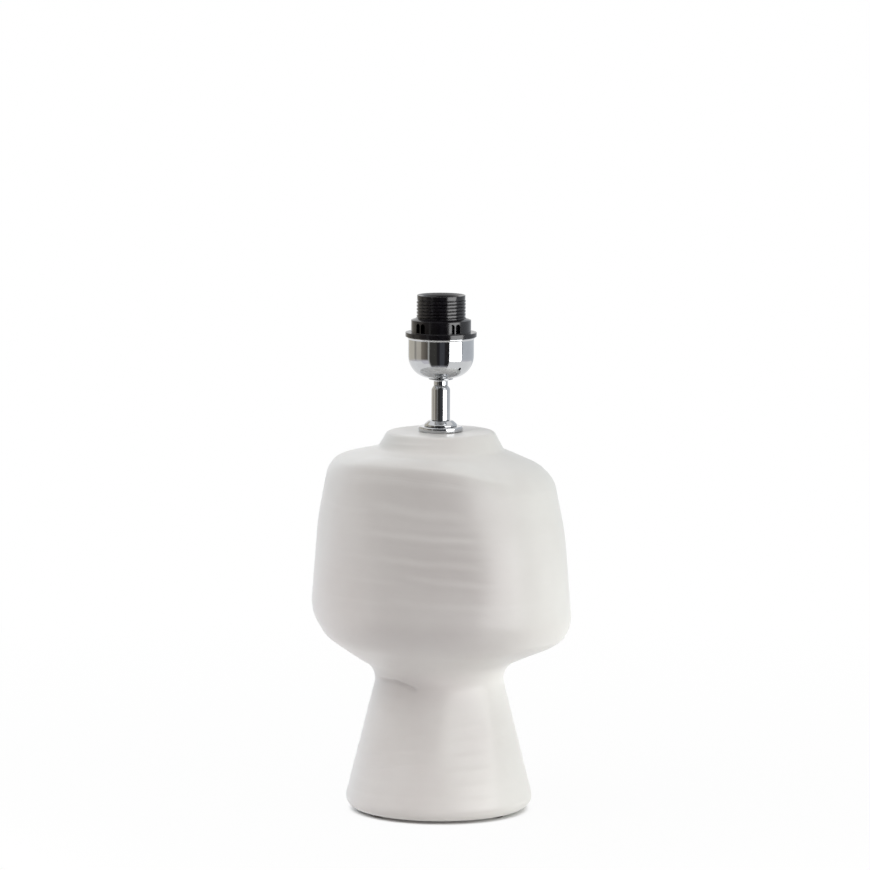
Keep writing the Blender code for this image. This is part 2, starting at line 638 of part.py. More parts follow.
def make_holder_cup():
    """The chromed cup, with a hole that leads to the grub screw."""
    lip = CUP_RADIUS + CUP_LIP_REACH
    bore = CUP_RADIUS - CUP_WALL
    floor = CUP_BOTTOM + CUP_WALL
    corners = [
        (bore, CUP_TOP),
        (lip, CUP_TOP),
        (lip, CUP_TOP - CUP_LIP_HEIGHT),
        (CUP_RADIUS, CUP_TOP - CUP_LIP_HEIGHT),
        (CUP_RADIUS, CUP_BOTTOM),
        (TUBE_CLEARANCE_RADIUS, CUP_BOTTOM),
        (TUBE_CLEARANCE_RADIUS, floor),
        (bore, floor),
    ]
    rounds = [0, CUP_LIP_REACH, 0, 0, CUP_ROUND, 0, 0, CUP_ROUND - CUP_WALL]
    cup = turned("holder_cup", rounded(corners, rounds), HOLDER_SEGMENTS, "chrome")
    height = CUP_BOTTOM + CUP_HOLE_HEIGHT
    hole = rod(
        "cup_hole_cutter",
        CUP_HOLE_RADIUS,
        radial(CUP_HOLE_AZIMUTH, CAP_RADIUS - CUP_HOLE_RADIUS, height),
        radial(CUP_HOLE_AZIMUTH, CUP_RADIUS + CUT_OVERRUN, height),
    )
    boolean(cup, hole)


def make_holder_cap():
    """The black inner cap: a hub on the tube, a floor, and a wall that the shell slips over."""
    underside = CAP_BOTTOM + HUB_HEIGHT
    corners = [
        (CAP_RADIUS - CAP_WALL, CAP_TOP),
        (CAP_RADIUS, CAP_TOP),
        (CAP_RADIUS, underside),
        (HUB_RADIUS, underside),
        (HUB_RADIUS, CAP_BOTTOM),
        (TUBE_CLEARANCE_RADIUS, CAP_BOTTOM),
        (TUBE_CLEARANCE_RADIUS, CAP_FLOOR_TOP),
        (CAP_RADIUS - CAP_WALL, CAP_FLOOR_TOP),
    ]
    rounds = [0, 0, CAP_ROUND, 0, 0, 0, 0, 0]
    cap = turned("holder_cap", rounded(corners, rounds), STACK_SEGMENTS, "black_thermoplastic")
    height = CUP_BOTTOM + CUP_HOLE_HEIGHT
    bore = rod(
        "grub_bore_cutter",
        GRUB_RADIUS + SEAT_GAP,
        radial(CUP_HOLE_AZIMUTH, TUBE_BORE_RADIUS, height),
        radial(CUP_HOLE_AZIMUTH, HUB_RADIUS + CUT_OVERRUN, height),
    )
    boolean(cap, bore)
    inner_end = TUBE_RADIUS + SEAT_GAP
    outer_end = inner_end + GRUB_LENGTH
    grub = rod("grub_screw", GRUB_RADIUS, radial(CUP_HOLE_AZIMUTH, inner_end, height),
               radial(CUP_HOLE_AZIMUTH, outer_end, height), finish="zinc_steel")
    socket = rod(
        "grub_socket_cutter",
        GRUB_SOCKET_RADIUS,
        radial(CUP_HOLE_AZIMUTH, outer_end - GRUB_SOCKET_DEPTH, height),
        radial(CUP_HOLE_AZIMUTH, outer_end + CUT_OVERRUN, height),
        segments=6,
    )
    boolean(grub, socket)


def make_contact_carrier():
    """The pale block between the cap and the shell, with a rivet to each terminal."""
    flange = CAP_RADIUS
    seat = LAMP_SHELL_OUTER_RADIUS
    corners = [
        (0, CARRIER_TOP),
        (seat, CARRIER_TOP),
        (seat, CARRIER_FLANGE_TOP),
        (flange, CARRIER_FLANGE_TOP),
        (flange, CARRIER_FLANGE_BOTTOM),
        (CARRIER_BLOCK_RADIUS, CARRIER_FLANGE_BOTTOM),
        (CARRIER_BLOCK_RADIUS, CARRIER_BOTTOM),
        (0, CARRIER_BOTTOM),
    ]
    rounds = [0, CARRIER_ROUND, 0, CARRIER_ROUND, CARRIER_ROUND, 0, CARRIER_ROUND, 0]
    outline = rounded(corners, rounds, CHAMFER_STEP)
    carrier = turned("contact_carrier", outline, STACK_SEGMENTS, "steatite")
    for pole, place in (("live", -LIVE_RIVET_PLACE), ("neutral", NEUTRAL_RIVET_PLACE)):
        low = (place, 0, CARRIER_BOTTOM)
        high = (place, 0, CARRIER_TOP)
        hole = rod(pole + "_rivet_cutter", RIVET_RADIUS + SEAT_GAP,
                   (place, 0, CARRIER_BOTTOM - CUT_OVERRUN), (place, 0, CARRIER_TOP + CUT_OVERRUN))
        boolean(carrier, hole)
        rod(pole + "_rivet", RIVET_RADIUS, low, high, finish="brass")


def make_terminal(pole, side):
    """A brass terminal block under the carrier, with its wire hole and its clamping screw."""
    middle = TERMINAL_TOP - TERMINAL_HEIGHT / 2
    centre = side * TERMINAL_PLACE
    outer_face = centre + side * TERMINAL_WIDTH / 2
    terminal = block(pole + "_terminal", (TERMINAL_WIDTH, TERMINAL_LENGTH, TERMINAL_HEIGHT),
                     (centre, 0, middle), "brass", TERMINAL_CHAMFER)
    wire_hole = rod(pole + "_wire_cutter", WIRE_HOLE_RADIUS,
                    (centre - side * WIRE_HOLE_SHIFT, -TERMINAL_LENGTH, middle),
                    (centre - side * WIRE_HOLE_SHIFT, TERMINAL_LENGTH, middle))
    shank_end = outer_face - side * SCREW_SHANK_LENGTH
    screw_hole = rod(pole + "_screw_cutter", SCREW_SHANK_RADIUS + SEAT_GAP,
                     (shank_end - side * SEAT_GAP, 0, middle), (outer_face + side * CUT_OVERRUN, 0, middle))
    boolean(terminal, wire_hole)
    boolean(terminal, screw_hole)
    head_start = outer_face + side * SEAT_GAP
    head_end = head_start + side * SCREW_HEAD_HEIGHT
    screw = rod(pole + "_terminal_screw", SCREW_HEAD_RADIUS, (head_start, 0, middle),
                (head_end, 0, middle), finish="zinc_steel")
    shank = rod(pole + "_shank_shape", SCREW_SHANK_RADIUS, (shank_end, 0, middle),
                (head_start + side * SCREW_HEAD_HEIGHT / 2, 0, middle))
    slot_length = 2 * (SCREW_HEAD_RADIUS + CUT_OVERRUN)
    slot = block(pole + "_slot_cutter", (2 * SCREW_SLOT_DEPTH, slot_length, SCREW_SLOT_WIDTH),
                 (head_end, 0, middle))
    boolean(screw, shank, "UNION")
    boolean(screw, slot)


def make_screw_shell():
    """The rolled metal thread that takes the lamp, with a lip on the carrier."""
    top = LAMP_SHELL_BOTTOM + LAMP_SHELL_HEIGHT
    start = LAMP_SHELL_BOTTOM + LAMP_SHELL_WALL
    rows = round((top - start) / LAMP_THREAD_PITCH * LAMP_THREAD_ROWS)
    levels = [start + (top - start) * row / rows for row in range(rows + 1)]
    half_wall = LAMP_SHELL_WALL / 2
    outer = LAMP_THREAD_RADIUS + half_wall
    inner = LAMP_THREAD_RADIUS - half_wall
    outline = [(outer, level) for level in reversed(levels)]
    outline += [(outer, LAMP_SHELL_BOTTOM), (LAMP_SHELL_LIP_RADIUS, LAMP_SHELL_BOTTOM)]
    outline += [(LAMP_SHELL_LIP_RADIUS, start)]
    outline += [(inner, level) for level in levels]
    shell = turned("screw_shell", outline, LAMP_SHELL_SEGMENTS, "nickelled_copper")
    for vertex in shell.data.vertices:
        flat = vertex.co.xy
        if flat.length < (LAMP_SHELL_LIP_RADIUS + inner) / 2:
            continue
        turns = (vertex.co.z - start) / LAMP_THREAD_PITCH
        phase = turns - math.atan2(flat.y, flat.x) / math.tau
        fade = ramp(turns, 0, 1) * ramp((top - vertex.co.z) / LAMP_THREAD_PITCH, 0, 1)
        flat *= 1 + (wave(phase) - 1 / 2) * fade * LAMP_THREAD_DEPTH / flat.length
        vertex.co.xy = flat


def make_centre_contact():
    """A sprung tongue that rises from its root to the middle of the holder. It is turned about its root."""
    root = -LIVE_RIVET_PLACE
    steps = [
        (-CONTACT_ROOT_LENGTH / 2, 0),
        (CONTACT_ROOT_LENGTH / 2, 0),
        (-root, CONTACT_RISE),
        (-root + CONTACT_TIP_PLACE, CONTACT_RISE - CONTACT_TIP_DROP),
    ]
    upper = inset(steps, -CONTACT_THICKNESS)
    outline = [Vector(step) for step in steps] + upper[::-1]
    contact = extruded("centre_contact", outline, CONTACT_WIDTH, "nickelled_copper")
    contact.rotation_euler = (math.pi / 2, 0, 0)
    contact.location = (root, CONTACT_WIDTH / 2, CARRIER_TOP + SEAT_GAP)


def make_holder_shell():
    """The black shell: a skirt over the cap, a shoulder, the outside thread and a plain collar."""
    skirt_bottom = SHELL_SHOULDER_UNDERSIDE - SHELL_SKIRT_HEIGHT
    thread_top = SHELL_TOP - SHELL_COLLAR_HEIGHT
    thread_bottom = SHELL_SHOULDER_TOP
    rows = round((thread_top - thread_bottom) / SHELL_THREAD_PITCH * SHELL_THREAD_ROWS)
    levels = [thread_top + (thread_bottom - thread_top) * row / rows for row in range(1, rows)]
    rim = [
        (SHELL_BORE_RADIUS, SHELL_TOP - SHELL_MOUTH_FLARE),
        (SHELL_BORE_RADIUS + SHELL_MOUTH_FLARE, SHELL_TOP),
        (SHELL_COLLAR_RADIUS, SHELL_TOP),
        (SHELL_COLLAR_RADIUS, thread_top),
    ]
    rounds = [0, 0, SHELL_RIM_ROUND, 0]
    below = [
        (SHELL_ROOT_RADIUS, thread_bottom),
        (SHELL_SKIRT_RADIUS, SHELL_SHOULDER_TOP),
        (SHELL_SKIRT_RADIUS, skirt_bottom),
        (SHELL_SKIRT_BORE_RADIUS, skirt_bottom),
        (SHELL_SKIRT_BORE_RADIUS, SHELL_SHOULDER_UNDERSIDE),
        (SHELL_BORE_RADIUS, SHELL_SHOULDER_UNDERSIDE),
    ]
    below_rounds = [0, SHELL_SHOULDER_HEIGHT / 2, 0, 0, 0, 0]
    corners = rim + [(SHELL_ROOT_RADIUS, level) for level in levels] + below
    outline = rounded(corners, rounds + [0] * len(levels) + below_rounds)
    shell = turned("holder_shell", outline, HOLDER_SEGMENTS, "black_thermoplastic")
    for vertex in shell.data.vertices:
        flat = vertex.co.xy
        height = vertex.co.z
        on_root = abs(flat.length - SHELL_ROOT_RADIUS) < MERGE_DISTANCE
        if not (on_root and thread_bottom < height < thread_top):
            continue
        phase = (height - thread_bottom) / SHELL_THREAD_PITCH - math.atan2(flat.y, flat.x) / math.tau
        vertex.co.xy = flat * (1 + wave(phase) * SHELL_THREAD_DEPTH / flat.length)


def arch(width, height, steps):
    """An upright slot with a round top, as an outline that stands on y = 0."""
    half = width / 2
    points = [(-half, 0), (half, 0)]
    for step in range(steps + 1):
        angle = math.pi * step / steps
        points.append((half * math.cos(angle), height - half + half * math.sin(angle)))
    return points


def make_shade_ring():
    """The screwed ring: a flange, and a grip with pairs of arched slots in it."""
    flange_top = RING_BOTTOM + RING_FLANGE_THICKNESS
    grip_edge = RING_BOTTOM + RING_GRIP_HEIGHT
    corners = [
        (RING_BORE_RADIUS, grip_edge + RING_TOP_RISE),
        (RING_GRIP_RADIUS, grip_edge),
        (RING_GRIP_RADIUS, flange_top),
        (RING_FLANGE_RADIUS, flange_top),
        (RING_FLANGE_RADIUS, RING_BOTTOM),
        (RING_BORE_RADIUS, RING_BOTTOM),
    ]
    rounds = [0, RING_FLANGE_ROUND, 0, RING_FLANGE_ROUND, RING_FLANGE_ROUND, 0]
    profile = rounded(corners, rounds, CHAMFER_STEP)
    shade_ring = turned("shade_ring", profile, HOLDER_SEGMENTS, "black_thermoplastic")
    outline = arch(RING_SLOT_WIDTH, RING_SLOT_HEIGHT, RING_ARCH_STEPS)
    for group in range(RING_SLOT_GROUPS):
        for place, azimuth in enumerate(RING_SLOT_AZIMUTHS):
            turn = math.radians(azimuth) + math.tau * group / RING_SLOT_GROUPS
            slot = extruded("slot_cutter_%d_%d" % (group, place), outline, RING_SLOT_DEPTH + CUT_OVERRUN)
            slot.rotation_euler = (math.pi / 2, 0, turn + math.pi / 2)
            slot.location = radial(turn, RING_GRIP_RADIUS - RING_SLOT_DEPTH, flange_top + SEAT_GAP)
            boolean(shade_ring, slot)


clear_scene()
parts = new_collection("table_lamp_base")
cutters = new_collection("cutters")
make_ceramic_body()
make_felt_pads()
make_cable_bush()
make_tube_fixings()
make_rosette()
make_seat_dome()
make_spacer_tube()
make_neck_collar()
make_holder_cup()
make_holder_cap()
make_contact_carrier()
make_terminal("live", -1)
make_terminal("neutral", 1)
make_screw_shell()
make_centre_contact()
make_holder_shell()
make_shade_ring()
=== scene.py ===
# Table lamp base: a thrown block in satin white glaze, a chromed stack on its neck and a black E27 lamp holder.
# Metres, +Z up, and the front looks along -Y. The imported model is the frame; the pieces made here ride on its bodies.
import math

import bmesh
import bpy
from mathutils import Matrix, Vector, noise


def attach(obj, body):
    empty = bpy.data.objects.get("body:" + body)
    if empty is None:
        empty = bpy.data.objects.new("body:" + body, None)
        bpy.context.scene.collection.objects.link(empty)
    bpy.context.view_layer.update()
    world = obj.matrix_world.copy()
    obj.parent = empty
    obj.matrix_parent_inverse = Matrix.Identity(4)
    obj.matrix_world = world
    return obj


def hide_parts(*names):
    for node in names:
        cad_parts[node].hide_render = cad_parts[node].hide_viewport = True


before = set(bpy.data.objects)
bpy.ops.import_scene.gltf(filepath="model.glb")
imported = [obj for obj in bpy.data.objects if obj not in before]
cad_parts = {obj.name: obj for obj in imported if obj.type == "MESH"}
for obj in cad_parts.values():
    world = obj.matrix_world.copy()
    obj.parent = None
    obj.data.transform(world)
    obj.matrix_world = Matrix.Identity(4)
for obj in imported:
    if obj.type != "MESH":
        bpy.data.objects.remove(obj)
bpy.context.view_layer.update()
scene = bpy.context.scene
mm = 0.001
fit = 0.3           # clearance in mm between pieces that touch, as in the solids
tubeHole = 5.3      # hole in mm round the threaded tube, shared by everything that it passes through


# Finishes

def toLinear(hexColour):
    channels = [int(hexColour[i:i + 2], 16) / 255 for i in (1, 3, 5)]
    return [c / 12.92 if c <= 0.04045 else ((c + 0.055) / 1.055) ** 2.4 for c in channels] + [1.0]


def addNode(tree, kind, inputs=None, **settings):
    node = tree.nodes.new(kind)
    for name, value in settings.items():
        setattr(node, name, value)
    for socket, value in (inputs or {}).items():
        if isinstance(value, bpy.types.NodeSocket):
            tree.links.new(value, node.inputs[socket])
        else:
            node.inputs[socket].default_value = value
    return node


patchRamp, shineRamp = (0.25, 0.75), (0.3, 0.7)     # the part of a pattern over which colour and roughness change

# patch: size in mm of one patch of colour and shine, which run between the two colours and the two roughnesses
# relief: size in mm of one bump, stretch of the pattern, height in mm and strength
finishes = {
    # Satin tin-white glaze, dipped over thrown stoneware and fired: soft broad highlights, a warm white that greys
    # a little where the coat pools, low waves and a faint orange peel.
    "satinTinGlaze": {
        "slot": "glazed_body",
        "shader": {"IOR": 1.5, "Specular IOR Level": 0.22},
        "patch": 42, "colours": ("#E5E3E1", "#EAE9E7"), "roughness": (0.28, 0.36),
        "relief": [(2.6, (1, 1, 1), 0.03, 0.35), (11, (1, 1, 2.5), 0.12, 0.5)]},
    # Bright chromium over nickel on spun steel: a hard mirror, slightly cool. Real buffing lines are a few
    # hundredths of a millimetre apart; they are drawn ten times coarser, so that they show at all.
    "chromePlatedSteel": {
        "slot": "chrome", "shader": {"Metallic": 1.0},
        "patch": 9, "colours": ("#BFC0C2", "#C8CACC"), "roughness": (0.06, 0.1),
        "relief": [(6, (1, 1, 18), 0.01, 0.12)]},
    # Glass-filled black polyester, moulded in a polished tool: deep black with crisp grey highlights. The fibres
    # stand out by microns; their grain is drawn at 0.8 mm, so that it shows.
    "mouldedPolyester": {
        "slot": "black_plastic", "shader": {"IOR": 1.57, "Specular IOR Level": 0.4},
        "patch": 5, "colours": ("#0F0D10", "#151318"), "roughness": (0.15, 0.2),
        "relief": [(0.8, (1, 1, 1), 0.004, 0.03)]},
    # Needled wool felt, 1.7 mm, dark brown: no shine at all, and a fuzz of paler fibres.
    "needledWoolFelt": {
        "slot": "felt", "shader": {"Sheen Weight": 0.35, "Sheen Roughness": 0.5},
        "patch": 0.6, "colours": ("#18110F", "#3A2B26"), "roughness": (0.9, 1.0),
        "relief": [(0.5, (1, 0.35, 1), 0.2, 0.8)]},
    # Black moulded rubber: dull, with the dusty bloom that it takes from handling.
    "mouldedRubber": {
        "slot": "soft_rubber", "shader": {"IOR": 1.52},
        "patch": 3, "colours": ("#121213", "#222122"), "roughness": (0.5, 0.68),
        "relief": [(0.5, (1, 1, 1), 0.02, 0.4)]},
    # Turned and stamped steel with bright zinc plating: bluish grey, a soft shine, a mottle of fine crystals.
    "zincPlatedSteel": {
        "slot": "zinc_steel", "shader": {"Metallic": 1.0}, "pattern": "ShaderNodeTexVoronoi",
        "patch": 0.9, "colours": ("#A9AEB2", "#BFC3C6"), "roughness": (0.24, 0.36),
        "relief": [(1.2, (1, 1, 3), 0.01, 0.3)]},
    # Free-cutting brass, turned and left bare: warm yellow with tool marks and a slight tarnish in patches.
    "turnedBrass": {
        "slot": "brass", "shader": {"Metallic": 1.0},
        "patch": 2.5, "colours": ("#A88342", "#D2AC62"), "roughness": (0.22, 0.4),
        "relief": [(0.8, (1, 1, 6), 0.01, 0.3)]},
    # Copper strip, rolled and nickel plated: a warm silver with rolling marks.
    "nickelPlatedCopper": {
        "slot": "nickelled_copper", "shader": {"Metallic": 1.0},
        "patch": 3, "colours": ("#B5ABA0", "#CBC3B8"), "roughness": (0.16, 0.28),
        "relief": [(2, (1, 1, 5), 0.01, 0.2)]},
    # Pressed and fired steatite: ivory, matt as an eggshell, with tiny darker grains.
    "pressedSteatite": {
        "slot": "steatite", "shader": {"IOR": 1.54},
        "patch": 0.6, "colours": ("#CFC7B4", "#E6E0D2"), "roughness": (0.4, 0.55),
        "relief": [(0.6, (1, 1, 1), 0.02, 0.3)]},
}


def makeFinish(name, values):
    material = bpy.data.materials.new(name)
    material.use_nodes = True
    tree = material.node_tree
    shader = tree.nodes["Principled BSDF"]
    for socket, value in values["shader"].items():
        shader.inputs[socket].default_value = value
    place = addNode(tree, "ShaderNodeTexCoord").outputs["Object"]
    patch = addNode(tree, values.get("pattern", "ShaderNodeTexNoise"),
                    {"Vector": place, "Scale": 1 / (values["patch"] * mm), "Detail": 3.0}).outputs[0]
    colour = addNode(tree, "ShaderNodeValToRGB", {"Fac": patch})
    for stop, position, tone in zip(colour.color_ramp.elements, patchRamp, values["colours"]):
        stop.position, stop.color = position, toLinear(tone)
    tree.links.new(colour.outputs["Color"], shader.inputs["Base Color"])
    (start, end), (low, high) = shineRamp, values["roughness"]
    shine = addNode(tree, "ShaderNodeMapRange", {"Value": patch, "From Min": start, "From Max": end,
                                                 "To Min": low, "To Max": high})
    tree.links.new(shine.outputs["Result"], shader.inputs["Roughness"])
    bump = None
    for size, stretch, height, strength in values["relief"]:
        mapped = addNode(tree, "ShaderNodeMapping", {"Vector": place, "Scale": stretch}).outputs["Vector"]
        grain = addNode(tree, "ShaderNodeTexNoise", {"Vector": mapped, "Scale": 1 / (size * mm), "Detail": 1.5})
        inputs = {"Height": grain.outputs["Fac"], "Distance": height * mm, "Strength": strength}
        if bump:
            inputs["Normal"] = bump.outputs["Normal"]
        bump = addNode(tree, "ShaderNodeBump", inputs)
    tree.links.new(bump.outputs["Normal"], shader.inputs["Normal"])
    return material


materials = {name: makeFinish(name, values) for name, values in finishes.items()}
print("finishes made:", len(materials))


# Mesh making

def clamp(value, low=0.0, high=1.0):
    return min(high, max(low, value))


def easeStep(value, low, high):
    share = clamp((value - low) / (high - low))
    return share * share * (3 - 2 * share)


def roundCorners(corners, rounds, turnStep=7, closed=True):
    # an outline through the corners, each with its own fillet; two fillets share the edge between them
    corners = [Vector(corner) for corner in corners]
    count = len(corners)
    halves, wanted = [], []
    for i, (here, radius) in enumerate(zip(corners, rounds)):
        ended = not closed and i in (0, count - 1)
        halves.append(math.pi / 2 if ended else (corners[i - 1] - here).angle(corners[(i + 1) % count] - here) / 2)
        wanted.append(0 if ended else radius / math.tan(halves[i]))
    points = []
    for i, here in enumerate(corners):
        if wanted[i] == 0:
            points.append(here)
            continue
        back, ahead = corners[i - 1] - here, corners[(i + 1) % count] - here
        reach = min(wanted[i], back.length * 0.98 * wanted[i] / (wanted[i] + wanted[i - 1]),
                    ahead.length * 0.98 * wanted[i] / (wanted[i] + wanted[(i + 1) % count]))
        centre = here + (back.normalized() + ahead.normalized()).normalized() * (reach / math.cos(halves[i]))
        start = here + back.normalized() * reach - centre
        end = here + ahead.normalized() * reach - centre
        first = math.atan2(start.y, start.x)
        sweep = math.remainder(math.atan2(end.y, end.x) - first, math.tau)
        steps = max(2, math.ceil(abs(sweep) / math.radians(turnStep)))
        for step in range(steps + 1):
            angle = first + sweep * step / steps
            points.append(centre + Vector((math.cos(angle), math.sin(angle))) * start.length)
    return points


def divide(points, spacing):
    # splits each run of a closed outline into steps no longer than spacing, a length or a function of the point
    fine = []
    for here, ahead in zip(points, points[1:] + points[:1]):
        longest = spacing((here + ahead) / 2) if callable(spacing) else spacing
        steps = max(1, math.ceil((ahead - here).length / longest))
        fine += [here.lerp(ahead, step / steps) for step in range(steps)]
    return fine


def section(corners, rounds, spacing, turnStep=7):
    return divide(roundCorners(corners, rounds, turnStep), spacing)


def pick(values, names):
    return [values[name] for name in names.split()]


def addObject(name, data):
    thing = bpy.data.objects.new(name, data)
    scene.collection.objects.link(thing)
    return thing


def makeMesh(name, verts, faces):
    # a closed mesh with all its faces looking outwards
    mesh = bpy.data.meshes.new(name)
    mesh.from_pydata(verts, [], faces)
    shell = bmesh.new()
    shell.from_mesh(mesh)
    bmesh.ops.recalc_face_normals(shell, faces=shell.faces)
    shell.to_mesh(mesh)
    shell.free()
    return mesh


def loft(name, rings):
    # a skin through rings of points, closed by one face at each end
    size = len(rings[0])
    faces = [list(range(size)), list(range(size * (len(rings) - 1), size * len(rings)))]
    for row in range(0, size * (len(rings) - 1), size):
        faces += [(row + i, row + (i + 1) % size, row + size + (i + 1) % size, row + size + i) for i in range(size)]
    return makeMesh(name, [Vector(spot) * mm for ring in rings for spot in ring], faces)


def smooth(mesh, sharpAngle):
    mesh.shade_smooth()
    mesh.set_sharp_from_angle(angle=math.radians(sharpAngle))


def addPiece(name, mesh, finish, sharpAngle):
    mesh.materials.append(materials[finish])
    smooth(mesh, sharpAngle)
    return addObject(name, mesh)


def turn(name, outline, segments, finish, shape=None, sharpAngle=32):
    # turns a closed outline of radius and height round the Z axis; shape(radius, height, angle, row) moves a point
    verts, rings, faces = [], [], []
    for row, (radius, height) in enumerate(outline):
        if radius < 0.001:
            rings.append([len(verts)] * segments)
            verts.append((0, 0, height * mm))
            continue
        rings.append(list(range(len(verts), len(verts) + segments)))
        for i in range(segments):
            angle = math.tau * i / segments
            r, z = shape(radius, height, angle, row) if shape else (radius, height)
            verts.append((r * math.cos(angle) * mm, r * math.sin(angle) * mm, z * mm))
    for lower, upper in zip(rings, rings[1:] + rings[:1]):
        for i in range(segments):
            j = (i + 1) % segments
            corners = list(dict.fromkeys((lower[i], lower[j], upper[j], upper[i])))
            if len(corners) > 2:
                faces.append(corners)
    return addPiece(name, makeMesh(name, verts, faces), finish, sharpAngle)


def cut(piece, cutters, sharpAngle=32):
    # cuts the shapes out of a piece for good, and removes them
    for cutter in cutters:
        step = piece.modifiers.new(cutter.name, "BOOLEAN")
        step.operation = "DIFFERENCE"
        step.object = cutter
    bpy.context.view_layer.update()
    mesh = bpy.data.meshes.new_from_object(piece.evaluated_get(bpy.context.evaluated_depsgraph_get()))
    piece.modifiers.clear()
    piece.data = mesh
    smooth(mesh, sharpAngle)
    for cutter in cutters:
        bpy.data.objects.remove(cutter)
    return piece


def pin(name, radius, start, end, segments=40):
    # a plain round cutter between two points
    start, end = Vector(start), Vector(end)
    turned = Vector((0, 0, 1)).rotation_difference(end - start)
    angles = [math.tau * i / segments for i in range(segments)]
    circle = [turned @ Vector((radius * math.cos(angle), radius * math.sin(angle), 0)) for angle in angles]
    return addObject(name, loft(name, [[place + spot for spot in circle] for place in (start, end)]))


def fitPiece(piece, node, body="lamp"):
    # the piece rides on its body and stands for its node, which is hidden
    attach(piece, body)
    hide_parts(node)


# Ceramic body

# lengths in mm; turns in degrees from the front, + to the right; a zone is where marks start, are full, fall and end
glazedBody = {
    "segments": 216, "wall": 6,
    "corners": [(5.3, 312.0), (43.6, 312.0), (51.5, 298.1), (91.3, 284.5), (100.8, 235.2),
                (107.8, 148.7), (50.0, 116.9), (79.0, 2.0), (45.0, 2.0)],
    "rounds": [0, 4.5, 5.8, 25.0, 142, 32.8, 17, 9.5, 1],
    "bends": [0, 1, -1, 1, 1, 1, -1, 1, 0],         # 1 where the outline turns outwards, -1 where it turns inwards
    "steps": [(103, 115, 0.4), (272, 309, 0.6), (176, 272, 1.0)],       # heights with a finer mesh, and its step
    "plainStep": 1.4, "hiddenStep": 6, "hiddenRadius": 30, "liningStep": 5,
    "levels": (124.85, 148.7, 284.5, 306.0),        # waist, belly, shoulder and neck of the leaning block
    "lean": (0.055, 0.064),                         # slope of the block's levels at the belly and at the shoulder
    "shift": (1.6, 0.8),                            # and how far the block stands to the right there
    "cableHeight": 27, "cableHole": 5.0, "holeReach": (55, 85),
    # waves of the wall, of where marks lie and of how deep ridges are: size, height, start of the pattern
    "unevenness": [(52, 0.35, (3, 7, 1)), (17, 0.10, (0, 0, 0))],
    "stray": [(34, 1.6, (0, 0, 0)), (13, 0.6, (0, 0, 0))],
    "ridgeWaves": [(45, 0.8, (9, 2, 5))],
    # throwing ridges, which climb like a screw: spacing, depth, start
    "bodyRidges": (18.0, 0.16, 254), "bodyZone": (140, 158, 274, 284),
    "footRidges": (11.7, 0.18, 55.7), "footZone": (8, 16, 94, 106), "ridgeStep": 5.0,
    # finger strokes on the front: height, first and last turn, depth, fall to the right in mm for a degree
    "strokes": [(272.6, -50, 10, 0.50, 0.02), (254.0, -34, 12, 0.75, 0.10), (236.3, -30, 14, 0.70, 0.0),
                (216.4, -24, 16, 0.75, 0.05), (202.6, -16, 18, 0.65, 0.14), (183.4, -24, 18, 0.35, 0.05),
                (245.6, -2, 22, 0.25, -0.04), (226.0, 2, 26, 0.25, 0.08)],
    "strokeStep": 7.5, "strokeReach": 24,
    "footStrokes": [(67.2, -75, -12, 0.45), (55.7, -75, -14, 0.60), (44.0, -75, -10, 0.75)],
    "footStep": 2.2, "footFall": 0.14,
    # crease in the waist, as turns and heights; share and reach of the fold above it and of the dip below it, and
    # share, place and width of its groove
    "crease": [(-66, 112.8), (-42.5, 113.4), (-31.5, 111.2), (-20.5, 107.9), (-13, 107.3), (2, 103)],
    "creaseTurns": (-62, -22, 8), "creaseDepth": 2.1, "creaseHeights": (86, 124),
    "creaseShape": ((0.4, 4), (0.3, 7), (0.85, -1.2, 2.1)),
    # bead and cove round the neck: height, width, depth, climb
    "neckLines": [(306.2, 1.3, 0.2, 0.03), (302.5, 1.7, -0.2, 0.03)], "neckFrom": (296, 41), "neckTurns": (-50, -8, 10),
    # where the wall was pushed out or in: height and half height, turn and half width, depth
    "swells": [(212, 66, 34, 32, 3.4), (68, 78, 20, 38, -4.8)],
    # the front of the shoulder: how far it is pulled up at each turn, between which heights and radii
    "shoulderLift": [(-80, 0), (-56, 2.9), (-38, 6.9), (-20, 8.5), (0, 7.2), (14, 4.4), (28, -0.5), (45, 0)],
    "liftHeights": (238, 281), "liftRadii": (54, 84),
    # and how sharp its edge is there (1 is a corner), softer along its middle
    "shoulderEdge": 0.8, "edgeTurns": (-62, 34, 14), "edgeSoftness": 0.09, "edgeFrom": (70, 250),
    # marks fade out at the rim of the foot, towards the middle and round the cable bush
    "rimFade": (3, 12), "middleFade": (26, 40), "bushRadius": 16, "bushFade": (0.7, 1.1),
}


def overBlock(z, values):
    # a value that runs from the belly to the shoulder and is nothing at the waist and at the neck
    waist, belly, shoulder, neck = glazedBody["levels"]
    between = values[0] + (values[1] - values[0]) * clamp((z - belly) / (shoulder - belly))
    return between * clamp((z - waist) / (belly - waist)) * (1 - clamp((z - shoulder) / (neck - shoulder)))


def frontTurn(angle):
    return math.degrees(math.atan2(math.cos(angle), -math.sin(angle)))


def along(curve, turnNow):
    # height of a line across the front, given as turns and heights
    if turnNow <= curve[0][0]:
        return curve[0][1]
    for (turnA, heightA), (turnB, heightB) in zip(curve, curve[1:]):
        if turnNow <= turnB:
            return heightA + (heightB - heightA) * (turnNow - turnA) / (turnB - turnA)
    return curve[-1][1]


def waves(spot, layers):
    return sum(height * noise.noise(spot / size + Vector(start)) for size, height, start in layers)


def lap(distance, step):
    # cross-section of one finger stroke: it swells up to its edge, then steps back into a shallow hollow
    above = easeStep(distance, -step / 2, step / 2)
    return (1 - above) * math.exp(min(distance, 0) / 5.5) - above * 0.6 * math.exp(-max(distance, 0) / 5)


